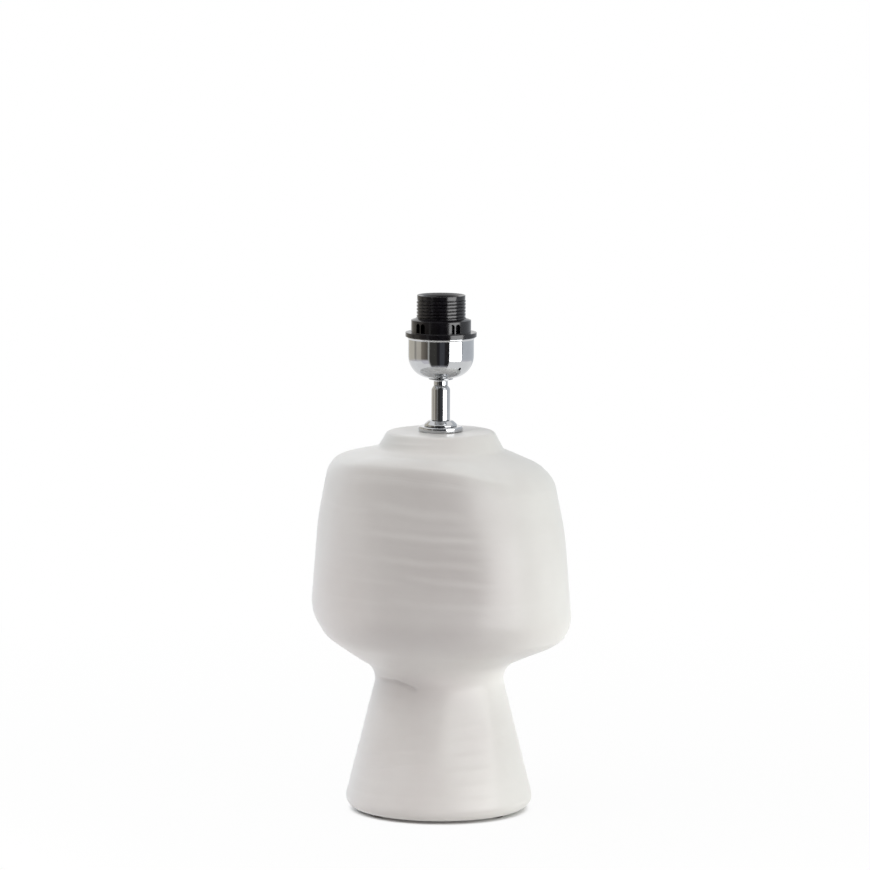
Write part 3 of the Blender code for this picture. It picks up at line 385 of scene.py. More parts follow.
def within(value, start, full, fall, end):
    return easeStep(value, start, full) * (1 - easeStep(value, fall, end))


def overStroke(turnNow, first, last, soft=9):
    return within(turnNow, first - soft, first + soft, last - soft / 2, last + soft / 2)


def ridge(z, turnNow, pitch, start):
    # one screw line round the pot
    place = (z - start) / pitch - turnNow / 360
    fromRidge = (place - round(place)) * pitch
    return lap(fromRidge, glazedBody["ridgeStep"]) * (1 - easeStep(abs(fromRidge) / pitch, 0.25, 0.5))


def shoulderEdge(point, turnNow):
    # fills the round of the shoulder out towards its corner, on the front
    values = glazedBody
    before, corner, after = (Vector(place) for place in values["corners"][2:5])
    size = values["rounds"][3]
    inward = ((before - corner).normalized() + (after - corner).normalized()).normalized()
    halfOpen = (before - corner).angle(inward)
    outward = point - corner - inward * (size / math.sin(halfOpen))
    fromMiddle = math.hypot(outward.angle(-inward), values["edgeSoftness"])
    fill = size * (1 / math.cos(max(math.pi / 2 - halfOpen - fromMiddle, 0)) - 1)
    return outward.normalized() * (fill * values["shoulderEdge"] * overStroke(turnNow, *values["edgeTurns"]))


def shoulderLift(radius, z, turnNow):
    values = glazedBody
    lift = along(values["shoulderLift"], turnNow)
    return lift * easeStep(z, *values["liftHeights"]) * easeStep(radius, *values["liftRadii"])


def swell(fromMiddle):
    return (1 + math.cos(math.pi * clamp(abs(fromMiddle)))) / 2


def relief(radius, z, angle):
    # how far the hand-worked surface stands out of the plain turned form
    values = glazedBody
    turnNow = frontTurn(angle)
    spot = Vector((radius * math.cos(angle), radius * math.sin(angle), z))
    stray, out = waves(spot, values["stray"]), waves(spot, values["unevenness"])
    for height, halfHeight, middle, halfWidth, depth in values["swells"]:
        out += depth * swell((z - height) / halfHeight) * swell((turnNow - middle) / halfWidth)
    onBody, onFoot = within(z, *values["bodyZone"]), within(z, *values["footZone"])
    if onBody > 0:
        pitch, depth, start = values["bodyRidges"]
        local = 0.6 + waves(spot, values["ridgeWaves"])
        out += onBody * depth * local * ridge(z + stray, turnNow, pitch, start)
        for height, first, last, depth, fall in values["strokes"]:
            if abs(z - height) < values["strokeReach"]:
                edge = lap(z - height + fall * (turnNow - (first + last) / 2) + stray, values["strokeStep"])
                out += onBody * depth * overStroke(turnNow, first, last) * edge
    if onFoot > 0:
        pitch, depth, start = values["footRidges"]
        out += onFoot * depth * ridge(z + stray * 0.6, turnNow, pitch, start)
        for height, first, last, depth in values["footStrokes"]:
            edge = z - height - values["footFall"] * (clamp(turnNow, -75, 0) + 30) + stray * 0.4
            out += onFoot * depth * overStroke(turnNow, first, last) * lap(edge, values["footStep"])
    low, high = values["creaseHeights"]
    if low < z < high:
        (foldShare, foldReach), (dipShare, dipReach), (grooveShare, place, width) = values["creaseShape"]
        fromCrease = z - along(values["crease"], turnNow) + stray * 0.3
        above = easeStep(fromCrease, -0.6, 0.6)
        fold = foldShare * above * math.exp(-max(fromCrease, 0) / foldReach)
        dip = dipShare * (1 - above) * math.exp(min(fromCrease, 0) / dipReach)
        groove = grooveShare * math.exp(-((fromCrease - place) / width) ** 2)
        out += values["creaseDepth"] * overStroke(turnNow, *values["creaseTurns"]) * (fold - dip - groove)
    low, inside = values["neckFrom"]
    if z > low and radius > inside:
        lines = sum(depth * math.exp(-((z - height - fall * turnNow) / width) ** 2)
                    for height, width, depth, fall in values["neckLines"])
        out += lines * (0.25 + 0.75 * overStroke(turnNow, *values["neckTurns"]))
    atBush = math.hypot(spot.x, z - values["cableHeight"]) / values["bushRadius"] if spot.y > 0 else 2
    fade = easeStep(z, *values["rimFade"]) * easeStep(radius, *values["middleFade"])
    return out * fade * easeStep(atBush, *values["bushFade"])


def insetRun(corners, distance):
    # an open run of corners moved to its right-hand side, into the wall
    runs = [Vector(b) - Vector(a) for a, b in zip(corners, corners[1:])]
    normals = [Vector((run.y, -run.x)).normalized() for run in runs]
    return [Vector(corner) + (before + after) * (distance / (1 + before.dot(after)))
            for corner, before, after in zip(corners, normals[:1] + normals, normals + normals[-1:])]


def outwardNormals(points):
    last = len(points) - 1
    runs = [points[min(i + 1, last)] - points[max(i - 1, 0)] for i in range(last + 1)]
    return [Vector((-run.y, run.x)).normalized() for run in runs]


def makeGlazedBody():
    values = glazedBody
    outer = values["corners"]
    inner = insetRun(outer, values["wall"])
    inner[0].x = outer[0][0]
    innerRounds = [max(size - bend * values["wall"], 1) if bend else size
                   for size, bend in zip(values["rounds"], values["bends"])]
    edgeRadius, edgeHeight = values["edgeFrom"]

    def skinSpacing(point):
        if point.x < values["hiddenRadius"]:
            return values["hiddenStep"]
        return next((step for low, high, step in values["steps"] if low < point.y < high), values["plainStep"])

    # both runs end where they meet: at the hole in the neck and in the opening of the foot
    skin = divide(roundCorners(outer, values["rounds"], 5, closed=False), skinSpacing)
    openRadius, openHeight = outer[-1][0] + 1, outer[-1][1] + 0.001
    skin = skin[:next(i for i, point in enumerate(skin) if point.y < openHeight and point.x < openRadius) + 1]
    lining = divide(roundCorners(inner, innerRounds, 12, closed=False), values["liningStep"])
    lining = lining[:next(i for i, point in enumerate(lining) if (point - inner[-1]).length < 0.01) + 1]
    normals = outwardNormals(skin) + outwardNormals(lining)[::-1]

    def shape(radius, height, angle, row):
        place = Vector((radius, height))
        turnNow = frontTurn(angle) + 2 * noise.noise(Vector((place.x, place.y, angle * 60)) / 20)
        moved = Vector((0, shoulderLift(place.x, place.y, turnNow)))
        if row < len(skin):
            moved += normals[row] * relief(place.x, place.y, angle)
            if place.x > edgeRadius and place.y > edgeHeight:
                moved += shoulderEdge(place, turnNow)
        return place + moved

    body = turn("glazedBody", skin + lining[::-1], values["segments"], "satinTinGlaze", shape, 50)
    for vertex in body.data.vertices:
        level = vertex.co.z / mm
        vertex.co.z -= overBlock(level, values["lean"]) * vertex.co.x
        vertex.co.x += overBlock(level, values["shift"]) * mm
    ends = [(0, reach, values["cableHeight"]) for reach in values["holeReach"]]
    fitPiece(cut(body, [pin("cableHole", values["cableHole"], *ends)], 50), "ceramic_body")


makeGlazedBody()
print("ceramic body made")


# Felt pads

# lengths here and below are in mm too, and rounds has one for each corner of a section
feltPads = {"radius": 8.0, "thickness": 1.7, "circle": 56.9, "rounds": (0, 0.5, 0.3, 0),
            "fray": 0.12, "frayFrom": 6,
            "azimuths": {"front_left": -142, "front_right": -38, "rear_right": 38, "rear_left": 142}}


def makeFeltPads():
    values = feltPads
    radius, half = values["radius"], values["thickness"] / 2
    outline = section([(0, half), (radius, half), (radius, -half), (0, -half)], values["rounds"], 0.7)
    for place, azimuth in values["azimuths"].items():
        centre = Vector((math.cos(math.radians(azimuth)), math.sin(math.radians(azimuth)))) * values["circle"]

        def fray(radius, height, angle, row):
            # the punched edge is a little ragged and bulges under the weight
            edge = easeStep(radius, values["frayFrom"], values["radius"])
            ragged = noise.noise(Vector((math.cos(angle) * 9, math.sin(angle) * 9, height + azimuth)))
            return radius + edge * values["fray"] * (ragged - 1), height

        pad = turn("feltPad_" + place, outline, 72, "needledWoolFelt", fray, 60)
        pad.data.transform(Matrix.Translation(Vector((centre.x, centre.y, half)) * mm))
        fitPiece(pad, "felt_pad_" + place)


# Cable bush

cableBush = {"bore": 3.5, "sleeve": 4.7, "flange": 7.5, "flangeThickness": 2.0,
             "wallRadius": 72.69, "inside": 8.0, "bendFrom": -6, "footSlope": -0.2524,
             "rounds": (0.5, 0.8, 0.25, 0, 0.5, 0.3)}


def makeCableBush():
    # turned on Z, then laid along +Y and bent to the cone of the foot
    values = cableBush
    bore, sleeve, flange, face, inside = pick(values, "bore sleeve flange flangeThickness inside")
    corners = [(bore, face), (flange, face), (flange, fit), (sleeve, fit), (sleeve, -inside), (bore, -inside)]
    outline = section(corners, values["rounds"], 0.8, 10)
    bush = turn("cableBush", outline, 64, "mouldedRubber", None, 45)
    for vertex in bush.data.vertices:
        across, up, outward = vertex.co / mm
        wall = values["wallRadius"] + values["footSlope"] * up
        onWall = math.sqrt(wall ** 2 - across ** 2) - values["wallRadius"]
        follow = easeStep(outward, values["bendFrom"], 0)
        outward += values["wallRadius"] + onWall * follow
        vertex.co = Vector((-across, outward, glazedBody["cableHeight"] + up)) * mm
    fitPiece(bush, "cable_bush")


makeFeltPads()
makeCableBush()
print("felt pads and cable bush made")


# Threaded tube and its fixings inside the body

threadedTube = {"radius": 5.0, "bore": 4.0, "low": 292.2, "high": 372.3, "chamfer": 0.5,
                "pitch": 1.0, "threadDepth": 0.55, "threadShares": (0.1, 0.1), "threadStep": 0.2}
steelWasher = {"radius": 15.0, "low": 303.7, "high": 305.7, "edge": 0.35}
rubberGasket = {"radius": 14.8, "low": 312.3, "high": 313.5, "edge": 0.3}
lockWasher = {"radius": 9.0, "low": 302.5, "high": 303.4, "edge": 0.1,
              "tooth": 1.4, "teeth": 12, "toothZone": (0.42, 0.52, 0.9, 1.0), "twistFrom": 0.7, "twist": 0.5,
              "flatness": 0.7}
lockNut = {"flats": 14.0, "low": 297.2, "high": 302.2, "chamfer": 0.3, "chamferAngle": 30}


def threadHeight(phase, crestShare, rootShare):
    # 1 on the crest and 0 in the root of a rounded thread, for a phase in turns
    away = abs((phase + 0.5) % 1 - 0.5) * 2
    return 1 - easeStep(away, crestShare, 1 - rootShare)


def discOutline(values, spacing):
    radius, low, high = pick(values, "radius low high")
    corners = [(tubeHole, high), (radius, high), (radius, low), (tubeHole, low)]
    return section(corners, [values["edge"]] * 4, spacing, 22)


def makeThreadedTube():
    values = threadedTube
    radius, bore, low, high, chamfer = pick(values, "radius bore low high chamfer")

    def tubeThread(r, height, angle, row):
        if r < radius - 0.01:
            return r, height
        phase = height / values["pitch"] - angle / math.tau
        return r - values["threadDepth"] * (1 - threadHeight(phase, *values["threadShares"])), height

    corners = [(bore, high), (radius - chamfer, high), (radius, high - chamfer), (radius, low + chamfer),
               (radius - chamfer, low), (bore, low)]
    outline = divide([Vector(corner) for corner in corners],
                     lambda point: values["threadStep"] if point.x > radius - 0.1 else 10)
    fitPiece(turn("threadedTube", outline, 32, "zincPlatedSteel", tubeThread, 50), "threaded_tube")


def makeLockWasher():
    values = lockWasher
    reachOut, tooth, low, high = pick(values, "radius tooth low high")
    root, middle = reachOut - tooth, (low + high) / 2

    def lockTeeth(radius, height, angle, row):
        # outside teeth, each twisted a little out of the flat
        share = angle / math.tau * values["teeth"] % 1
        if radius < root - 0.1:
            return radius, height
        onTooth = within(share, *values["toothZone"])
        reach = clamp((radius - root) / tooth)
        twist = (share - values["twistFrom"]) * values["twist"] * reach * onTooth
        return radius - tooth * reach * (1 - onTooth), middle + (height - middle) * values["flatness"] + twist

    outline = discOutline(values, 0.45)
    fitPiece(turn("lockWasher", outline, 240, "zincPlatedSteel", lockTeeth, 40), "lock_washer")


def makeLockNut():
    values = lockNut
    flats, low, high, chamfer = pick(values, "flats low high chamfer")
    half = flats / 2
    overCorners = half / math.cos(math.pi / 6)

    def hexagon(radius, height, angle, row):
        # flats, with the corners turned off at both ends
        if radius < tubeHole + 0.4:
            return radius, height
        onFlat = half / math.cos((angle + math.pi / 6) % (math.pi / 3) - math.pi / 6)
        corner = half + min(height - low, high - height) / math.tan(math.radians(values["chamferAngle"]))
        return min(radius, onFlat, corner), height

    corners = [(tubeHole, high - chamfer), (tubeHole + chamfer, high), (half - 0.1, high),
               (overCorners, high - 0.01), (overCorners, low + 0.01), (half - 0.1, low),
               (tubeHole + chamfer, low), (tubeHole, low + chamfer)]
    outline = divide([Vector(corner) for corner in corners], 0.25)
    fitPiece(turn("lockNut", outline, 96, "zincPlatedSteel", hexagon, 25), "lock_nut")


makeThreadedTube()
fitPiece(turn("steelWasher", discOutline(steelWasher, 2), 72, "zincPlatedSteel"), "steel_washer")
makeLockWasher()
makeLockNut()
fitPiece(turn("rubberGasket", discOutline(rubberGasket, 2), 72, "mouldedRubber"), "rubber_gasket")
print("tube fixings made")


# Chromed stack

stackSegments = 128
rosette = {"radius": 18.0, "low": 312.3, "high": 316.3, "recess": 15.1, "recessDepth": 1.5,
           "rounds": (0.2, 1.3, 0.6, 0.2, 0.2, 0.2)}
seatDome = {"base": 13.4, "top": 9.8, "skirt": 1.2, "low": 316.6, "high": 321.0,
            "rounds": (0.2, 2.6, 2.6, 0.2, 0.2)}
spacerTube = {"radius": 7.6, "wall": 0.9, "low": 321.3, "high": 349.5, "top": 5.7,
              "shoulder": 2.8, "rounds": (0, 1.6, 3.4, 0.2, 0.2, 2.4, 0.2)}
neckCollar = {"neck": 5.75, "disc": 10.0, "low": 349.8, "discLow": 354.5, "high": 355.4,
              "rounds": (0.1, 0.4, 0.4, 1.6, 0.2, 0.1)}
holderCup = {"radius": 26.8, "wall": 0.8, "low": 355.7, "high": 389.3,
             "lipReach": 0.9, "lipHeight": 1.8, "lipEdge": 0.5,
             "rounds": (0.2, 0.2, 0.2, 0.3, 18.3, 0.2, 0.2, 17.5),
             "holeRadius": 1.3, "holeHeight": 364.9, "holeAzimuth": -51.4, "holeReach": (19, 29)}


def turnChrome(name, node, corners, values, spacing, turnStep):
    outline = section(corners, values["rounds"], spacing, turnStep)
    fitPiece(turn(name, outline, stackSegments, "chromePlatedSteel"), node)


def makeRosette():
    values = rosette
    low, high, radius, recess = pick(values, "low high radius recess")
    ceiling = low + values["recessDepth"]
    corners = [(tubeHole, high), (radius, high), (radius, low), (recess, low), (recess, ceiling), (tubeHole, ceiling)]
    turnChrome("chromedRosette", "rosette", corners, values, 1.5, 7)


def makeSeatDome():
    values = seatDome
    low, high, base, top = pick(values, "low high base top")
    corners = [(tubeHole, high), (top, high), (base, low + values["skirt"]), (base, low), (tubeHole, low)]
    turnChrome("chromedSeatDome", "seat_dome", corners, values, 1.0, 5)


def makeSpacerTube():
    values = spacerTube
    low, high, radius, wall = pick(values, "low high radius wall")
    shoulder = high - values["shoulder"]
    corners = [(tubeHole, high), (values["top"], high), (radius, shoulder), (radius, low),
               (radius - wall, low), (radius - wall, shoulder - wall / 2), (tubeHole, high - wall)]
    turnChrome("chromedSpacerTube", "spacer_tube", corners, values, 2, 5)


def makeNeckCollar():
    values = neckCollar
    low, discLow, high, neck, disc = pick(values, "low discLow high neck disc")
    corners = [(tubeHole, high), (disc, high), (disc, discLow), (neck, discLow), (neck, low), (tubeHole, low)]
    turnChrome("chromedNeckCollar", "neck_collar", corners, values, 1, 6)


def makeHolderCup():
    values = holderCup
    radius, wall, low, high = pick(values, "radius wall low high")
    lip, lipLow = radius + values["lipReach"], high - values["lipHeight"]
    corners = [(radius - wall, high), (lip, high), (lip, high - values["lipEdge"]), (radius, lipLow), (radius, low),
               (tubeHole, low), (tubeHole, low + wall), (radius - wall, low + wall)]
    cup = turn("chromedHolderCup", section(corners, values["rounds"], 1.5, 3.5), 160, "chromePlatedSteel")
    azimuth, middle = math.radians(values["holeAzimuth"]), Vector((0, 0, values["holeHeight"]))
    ends = [middle + Vector((math.cos(azimuth), math.sin(azimuth), 0)) * reach for reach in values["holeReach"]]
    fitPiece(cut(cup, [pin("grubHole", values["holeRadius"], *ends)]), "holder_cup")


makeRosette()
makeSeatDome()
makeSpacerTube()
makeNeckCollar()
makeHolderCup()
print("chromed stack made")


# Lamp holder

holderShell = {
    "segments": 144,
    "skirtRadius": 23.0, "skirtBore": 21.0, "skirtLow": 369.9, "shoulderLow": 387.0,
    "shoulderHigh": 389.3, "bore": 14.2, "rootRadius": 19.0, "crestRadius": 19.95,
    "threadHigh": 420.2, "collarRadius": 19.65, "high": 423.3, "rimRise": 0.25,
    "mouthFlare": 1.2, "rounds": (0.4, 0.3, 0.3, 0.2, 0, 0.3, 1.1, 0.3, 0.3, 0, 0.3),
    # the thread starts this share of a turn round, fades in and out over these turns, and has these shares of crest
    # and root
    "pitch": 2.76, "threadPhase": 0.32, "fadeTurns": (0.8, 0.35), "threadShares": (0.5, 0.05), "threadSteps": 22,
}
shadeRing = {
    "segments": 180, "bore": 20.1, "low": 389.6, "flangeRadius": 29.0, "flangeThickness": 3.5,
    "gripRadius": 24.4, "gripEdge": 403.1, "topRise": 1.6, "rounds": (0.3, 0.3, 0.3, 0.15, 0.15, 0.3),
    "slotWidth": 4.4, "slotDepth": 3.3, "slotHeight": 8.0, "groups": 5, "slotAzimuths": (-68.2, -55.8),
}
steatiteCarrier = {
    "flange": 20.7, "block": 16.5, "seat": 13.9, "low": 376.5, "flangeLow": 384.3,
    "flangeHigh": 386.7, "high": 389.1, "rounds": (0, 0.5, 0.2, 0.5, 0.5, 0.2, 0.5, 0),
    "rivetRadius": 1.8, "livePlace": -7.2, "neutralPlace": 11.35, "rivetEnds": (370, 395),
}
lampThread = {
    "radius": 13.1, "depth": 1.1, "pitch": 3.63, "wall": 0.5, "lip": 9.6,
    "low": 389.4, "high": 411.9, "fadeTurns": (0.8, 0.7), "threadSteps": 14,
}
springContact = {
    "width": 5.0, "thickness": 0.5, "rise": 2.9, "rootLength": 3.0, "tipPlace": 4.2,
    "tipDrop": 0.8, "tipShare": 0.72, "tipLeast": 0.25, "narrowing": (2, 7), "columns": 9, "step": 0.35,
    "rounds": (0, 1.5, 2.2, 0),
}


def makeHolderShell():
    values = holderShell
    low, high, root, bore, top, flare = pick(values, "shoulderHigh threadHigh rootRadius bore high mouthFlare")
    collar, skirt, skirtBore, skirtLow, ceiling = pick(
        values, "collarRadius skirtRadius skirtBore skirtLow shoulderLow")
    corners = [(bore, top - 2 * flare), (bore + flare, top - flare), (collar, top + values["rimRise"]),
               (collar, high), (root, high - 0.1), (root, low), (skirt, low), (skirt, skirtLow),
               (skirtBore, skirtLow), (skirtBore, ceiling), (bore, ceiling)]

    def onThread(radius):
        return abs(radius - root) <= 0.01

    def outsideThread(radius, height, angle, row):
        if not onThread(radius) or not low + 0.3 < height < high - 0.11:
            return radius, height
        phase = (height - low) / values["pitch"] - angle / math.tau + values["threadPhase"]
        fadeIn, fadeOut = (turns * values["pitch"] for turns in values["fadeTurns"])
        fade = clamp((height - low) / fadeIn) * clamp((high - height) / fadeOut)
        return radius + threadHeight(phase, *values["threadShares"]) * fade * (values["crestRadius"] - root), height

    outline = section(corners, values["rounds"],
                      lambda point: values["pitch"] / values["threadSteps"] if onThread(point.x) else 2, 15)
    holder = turn("holderShell", outline, values["segments"], "mouldedPolyester", outsideThread, 40)
    fitPiece(holder, "holder_shell")


def archCutter(name, turnAngle, low):
    # an upright slot with a round top, cut inwards from outside the grip
    width, height, depth, radius = pick(shadeRing, "slotWidth slotHeight slotDepth gripRadius")
    half = width / 2
    arch = [math.pi * i / 16 for i in range(17)]
    points = [(-half, 0), (half, 0)]
    points += [(half * math.cos(angle), height - half + half * math.sin(angle)) for angle in arch]
    outward = Vector((math.cos(turnAngle), math.sin(turnAngle), 0))
    sideways = Vector((-math.sin(turnAngle), math.cos(turnAngle), 0))
    rings = [[outward * reach + sideways * x + Vector((0, 0, low + y)) for x, y in points]
             for reach in (radius - depth, radius + 2)]
    return addObject(name, loft(name, rings))


def makeShadeRing():
    values = shadeRing
    bore, grip, edge, flange, low = pick(values, "bore gripRadius gripEdge flangeRadius low")
    flangeTop = low + values["flangeThickness"]
    corners = [(bore, edge + values["topRise"]), (grip, edge), (grip, flangeTop), (flange, flangeTop), (flange, low),
               (bore, low)]
    outline = section(corners, values["rounds"], 2, 12)
    ring = turn("screwedShadeRing", outline, values["segments"], "mouldedPolyester")
    slots = [archCutter("slot%d_%d" % (group, -azimuth), math.radians(azimuth + 360 * group / values["groups"]),
                        flangeTop + fit) for group in range(values["groups"]) for azimuth in values["slotAzimuths"]]
    fitPiece(cut(ring, slots), "shade_ring", "shade_ring")


def makeContactCarrier():
    values = steatiteCarrier
    low, flangeLow, flangeHigh, high = pick(values, "low flangeLow flangeHigh high")
    seat, flange, block = pick(values, "seat flange block")
    corners = [(0, high), (seat, high), (seat, flangeHigh), (flange, flangeHigh), (flange, flangeLow),
               (block, flangeLow), (block, low), (0, low)]
    outline = section(corners, values["rounds"], 2.5, 20)
    carrier = turn("steatiteCarrier", outline, 96, "pressedSteatite")
    holes = [pin("rivetHole%d" % i, values["rivetRadius"], *[(place, 0, end) for end in values["rivetEnds"]], 32)
             for i, place in enumerate((values["livePlace"], values["neutralPlace"]))]
    fitPiece(cut(carrier, holes), "contact_carrier")


def makeLampThread():
    values = lampThread
    low, high, wall, lip, pitch = pick(values, "low high wall lip pitch")
    start, outer, inner = low + wall, values["radius"] + wall / 2, values["radius"] - wall / 2

    def rolledThread(radius, height, angle, row):
        if radius < inner - 0.01:
            return radius, height
        turns = (height - start) / pitch
        fade = easeStep(turns, 0, values["fadeTurns"][0]) * easeStep((high - height) / pitch, 0, values["fadeTurns"][1])
        wave = math.cos(math.tau * (turns - angle / math.tau)) / 2
        return radius + wave * fade * values["depth"], height

    corners = [(outer, high), (outer, low), (lip, low), (lip, start), (inner, start), (inner, high)]
    outline = divide([Vector(corner) for corner in corners],
                     lambda point: pitch / values["threadSteps"] if point.x > inner - 0.01 else 1.5)
    fitPiece(turn("rolledLampThread", outline, 96, "nickelPlatedCopper", rolledThread, 45), "screw_shell")


def makeSpringContact():
    # a bent spring strip, narrowed and rounded at its free end
    values = springContact
    root, base = steatiteCarrier["livePlace"], steatiteCarrier["high"] + fit
    half, rise, tip, columns = values["rootLength"] / 2, values["rise"], values["tipPlace"], values["columns"]
    corners = [(root - half, base), (root + half, base), (0, base + rise), (tip, base + rise - values["tipDrop"])]
    path = divide(roundCorners(corners, values["rounds"], 8, closed=False), values["step"])
    path = path[:next(i for i, point in enumerate(path) if point.x > tip - 0.001) + 1]
    last = len(path) - 1
    rings = []
    for i, point in enumerate(path):
        ahead = (path[min(i + 1, last)] - path[max(i - 1, 0)]).normalized()
        lift = Vector((-ahead.y, ahead.x)) * values["thickness"]
        fromTip = tip - point.x
        width = values["tipShare"] + (1 - values["tipShare"]) * easeStep(fromTip, *values["narrowing"])
        width *= values["width"] / 2
        if fromTip < width:
            width = math.sqrt(max(width ** 2 - (width - fromTip) ** 2, values["tipLeast"] ** 2))
        across = [width * (2 * j / (columns - 1) - 1) for j in range(columns)]
        rings.append([(point.x, y, point.y) for y in across]
                     + [(point.x + lift.x, y, point.y + lift.y) for y in reversed(across)])
    strip = addPiece("springContact", loft("springContact", rings), "nickelPlatedCopper", 40)
    fitPiece(strip, "centre_contact", "centre_contact")


makeHolderShell()
makeShadeRing()
makeContactCarrier()
makeLampThread()
makeSpringContact()
print("lamp holder made")


# Small plain nodes keep the shape of the solids and only get their finish

keptNodes = {"mouldedPolyester": "holder_cap", "turnedBrass": "live_rivet neutral_rivet live_terminal neutral_terminal",
             "zincPlatedSteel": "grub_screw live_terminal_screw neutral_terminal_screw"}
for finish, nodeNames in keptNodes.items():
    for nodeName in nodeNames.split():
        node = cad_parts[nodeName]
        node.data.materials.clear()
        node.data.materials.append(materials[finish])
print("finishes given to the kept nodes")


# Studio

# a white table in a white room: a grey wall on the left, a dark doorway in front and a big softbox on the right
studio = {
    "tableFront": -0.26, "tableBack": 1.3, "tableSide": 1.1,
    "tableColours": ("#E8E8E6", "#ECECEA"),
    "clearing": ((0.069, 0.0), (0.11, 1.0), (0.0745, 0.96)),    # radius on the table, and how white it is there
    "wallRadius": 1.6, "wallFoot": "#E4E2E8", "wallSteps": 40,
    # each wall panel: first and last azimuth from the front, low and high edge in metres, the two heights between
    # which its foot fades into the table's white, and its tones
    "panels": {
        "leftWall": (-152, -45, -0.6, 1.55, -0.15, 0.1, [(-152, "#D6D0C3"), (-107, "#D6D0C3"), (-105, "#A8A49C"),
                                             (-97, "#A8A49C"), (-95, "#D0CABF"), (-75, "#CCC6BA"),
                                             (-72, "#90897F"), (-48, "#5E5952"), (-45, "#C1C1BE")]),
        "frontDoorway": (-45, 30, -2.3, 2.2, -2.0, -0.9, [(-45, "#C1C1BE"), (-42, "#C1C1BE"), (-40, "#444340"),
                                              (-16, "#444340"), (-13, "#2B2A2C"), (-6, "#2B2A2C"),
                                              (-2, "#4B4D52"), (11, "#4B4D52"), (15, "#2B2A2C"), (30, "#2B2A2C")]),
        "rightWall": (78, 172, -0.6, 1.55, -0.15, 0.1, [(78, "#9FA2A6"), (84, "#D6DADF"), (172, "#D6DADF")]),
    },
    # area lights: turn from the front, elevation, distance, width and height, radiance and tint; they light matt
    # surfaces and no mirror shows them, but for the mirror lamp, which only mirrors show. The cards are low white
    # ones beside the foot.
    "lamps": {
        "softboxFace": (53.5, 0, 1.5, 1.22, 0.86, 4.8, "#FFFFFF"),
        "softbox": (52.5, 4, 1.5, 1.0, 0.9, 3.75, "#FFF8F8"),
        "rightSide": (97, 4, 1.5, 0.85, 0.9, 2.89, "#E9FFF2"),
        "rightBack": (125, 4, 1.5, 0.6, 0.9, 1.55, "#FFEAF2"),
        "leftHigh": (-60, 42, 1.5, 0.8, 0.8, 3.72, "#FFFFF8"),
        "leftSide": (-100, 42, 1.5, 0.8, 0.8, 1.79, "#F7F5FF"),
        "leftBack": (-135, 4, 1.5, 0.6, 0.9, 2.4, "#B5E2FF"),
        "backFill": (180, 25, 1.5, 1.2, 0.9, 1.5, "#FFFFFF"),
        "overhead": (0, 80, 1.5, 1.2, 1.2, 1.88, "#FFFFFF"),
        "leftCard": (-60, -24, 0.5, 0.3, 0.1, 3.9, "#FFF1F4"),
        "rightCard": (45, -24, 0.5, 0.3, 0.1, 1.66, "#FFF6F8"),
    },
    "mirrorLamp": "softboxFace",
    "lampLevel": 0.27,
    "roomLight": 0.005,         # what the white room gives matt surfaces; the camera and mirrors see plain white
}


def makeStaging(name, verts, faces):
    mesh = bpy.data.meshes.new(name)
    mesh.from_pydata(verts, [], faces)
    return addObject(name, mesh)


def emptyMaterial(name):
    material = bpy.data.materials.new(name)
    material.use_nodes = True
    material.node_tree.nodes.clear()
    return material, material.node_tree


def seenBy(tree):
    # 1 where the camera looks, and 1 where a mirror or glass does
    light = addNode(tree, "ShaderNodeLightPath").outputs
    mirror = addNode(tree, "ShaderNodeMath", {0: light["Is Glossy Ray"], 1: light["Is Transmission Ray"]},
                     operation="MAXIMUM")
    return light["Is Camera Ray"], mirror.outputs[0]


def makeTable():
    values = studio
    x, front, back = values["tableSide"], values["tableFront"], values["tableBack"]
    table = makeStaging("whiteTable", [(-x, front, 0), (x, front, 0), (x, back, 0), (-x, back, 0)], [(0, 1, 2, 3)])
    # matt white laminate; seen directly or in a mirror it is plain white, and only the shadow at the foot stays
    material, tree = emptyMaterial("mattWhiteLaminate")
    place = addNode(tree, "ShaderNodeTexCoord").outputs["Object"]
    away = addNode(tree, "ShaderNodeVectorMath", {0: place}, operation="LENGTH").outputs["Value"]
    clear = addNode(tree, "ShaderNodeValToRGB", {"Fac": away})
    stops = clear.color_ramp.elements
    for stop, (radius, share) in zip((stops[0], stops[1], stops.new(0.08)), values["clearing"]):
        stop.position, stop.color = radius, (share, share, share, 1)
    camera, mirror = seenBy(tree)
    seen = addNode(tree, "ShaderNodeMath", {0: camera, 1: clear.outputs["Color"]}, operation="MULTIPLY")
    share = addNode(tree, "ShaderNodeMath", {0: seen.outputs[0], 1: mirror}, operation="MAXIMUM")
    fibre = addNode(tree, "ShaderNodeTexNoise", {"Vector": place, "Scale": 1 / (4 * mm), "Detail": 2.0})
    colour = addNode(tree, "ShaderNodeValToRGB", {"Fac": fibre.outputs["Fac"]})
    for stop, tone in zip(colour.color_ramp.elements, values["tableColours"]):
        stop.color = toLinear(tone)
    matt = addNode(tree, "ShaderNodeBsdfDiffuse", {"Color": colour.outputs["Color"]})
    white = addNode(tree, "ShaderNodeEmission", {"Color": (1, 1, 1, 1), "Strength": 1.0})
    both = addNode(tree, "ShaderNodeMixShader", {0: share.outputs[0], 1: matt.outputs[0], 2: white.outputs[0]})
    addNode(tree, "ShaderNodeOutputMaterial", {"Surface": both.outputs[0]})
    table.data.materials.append(material)


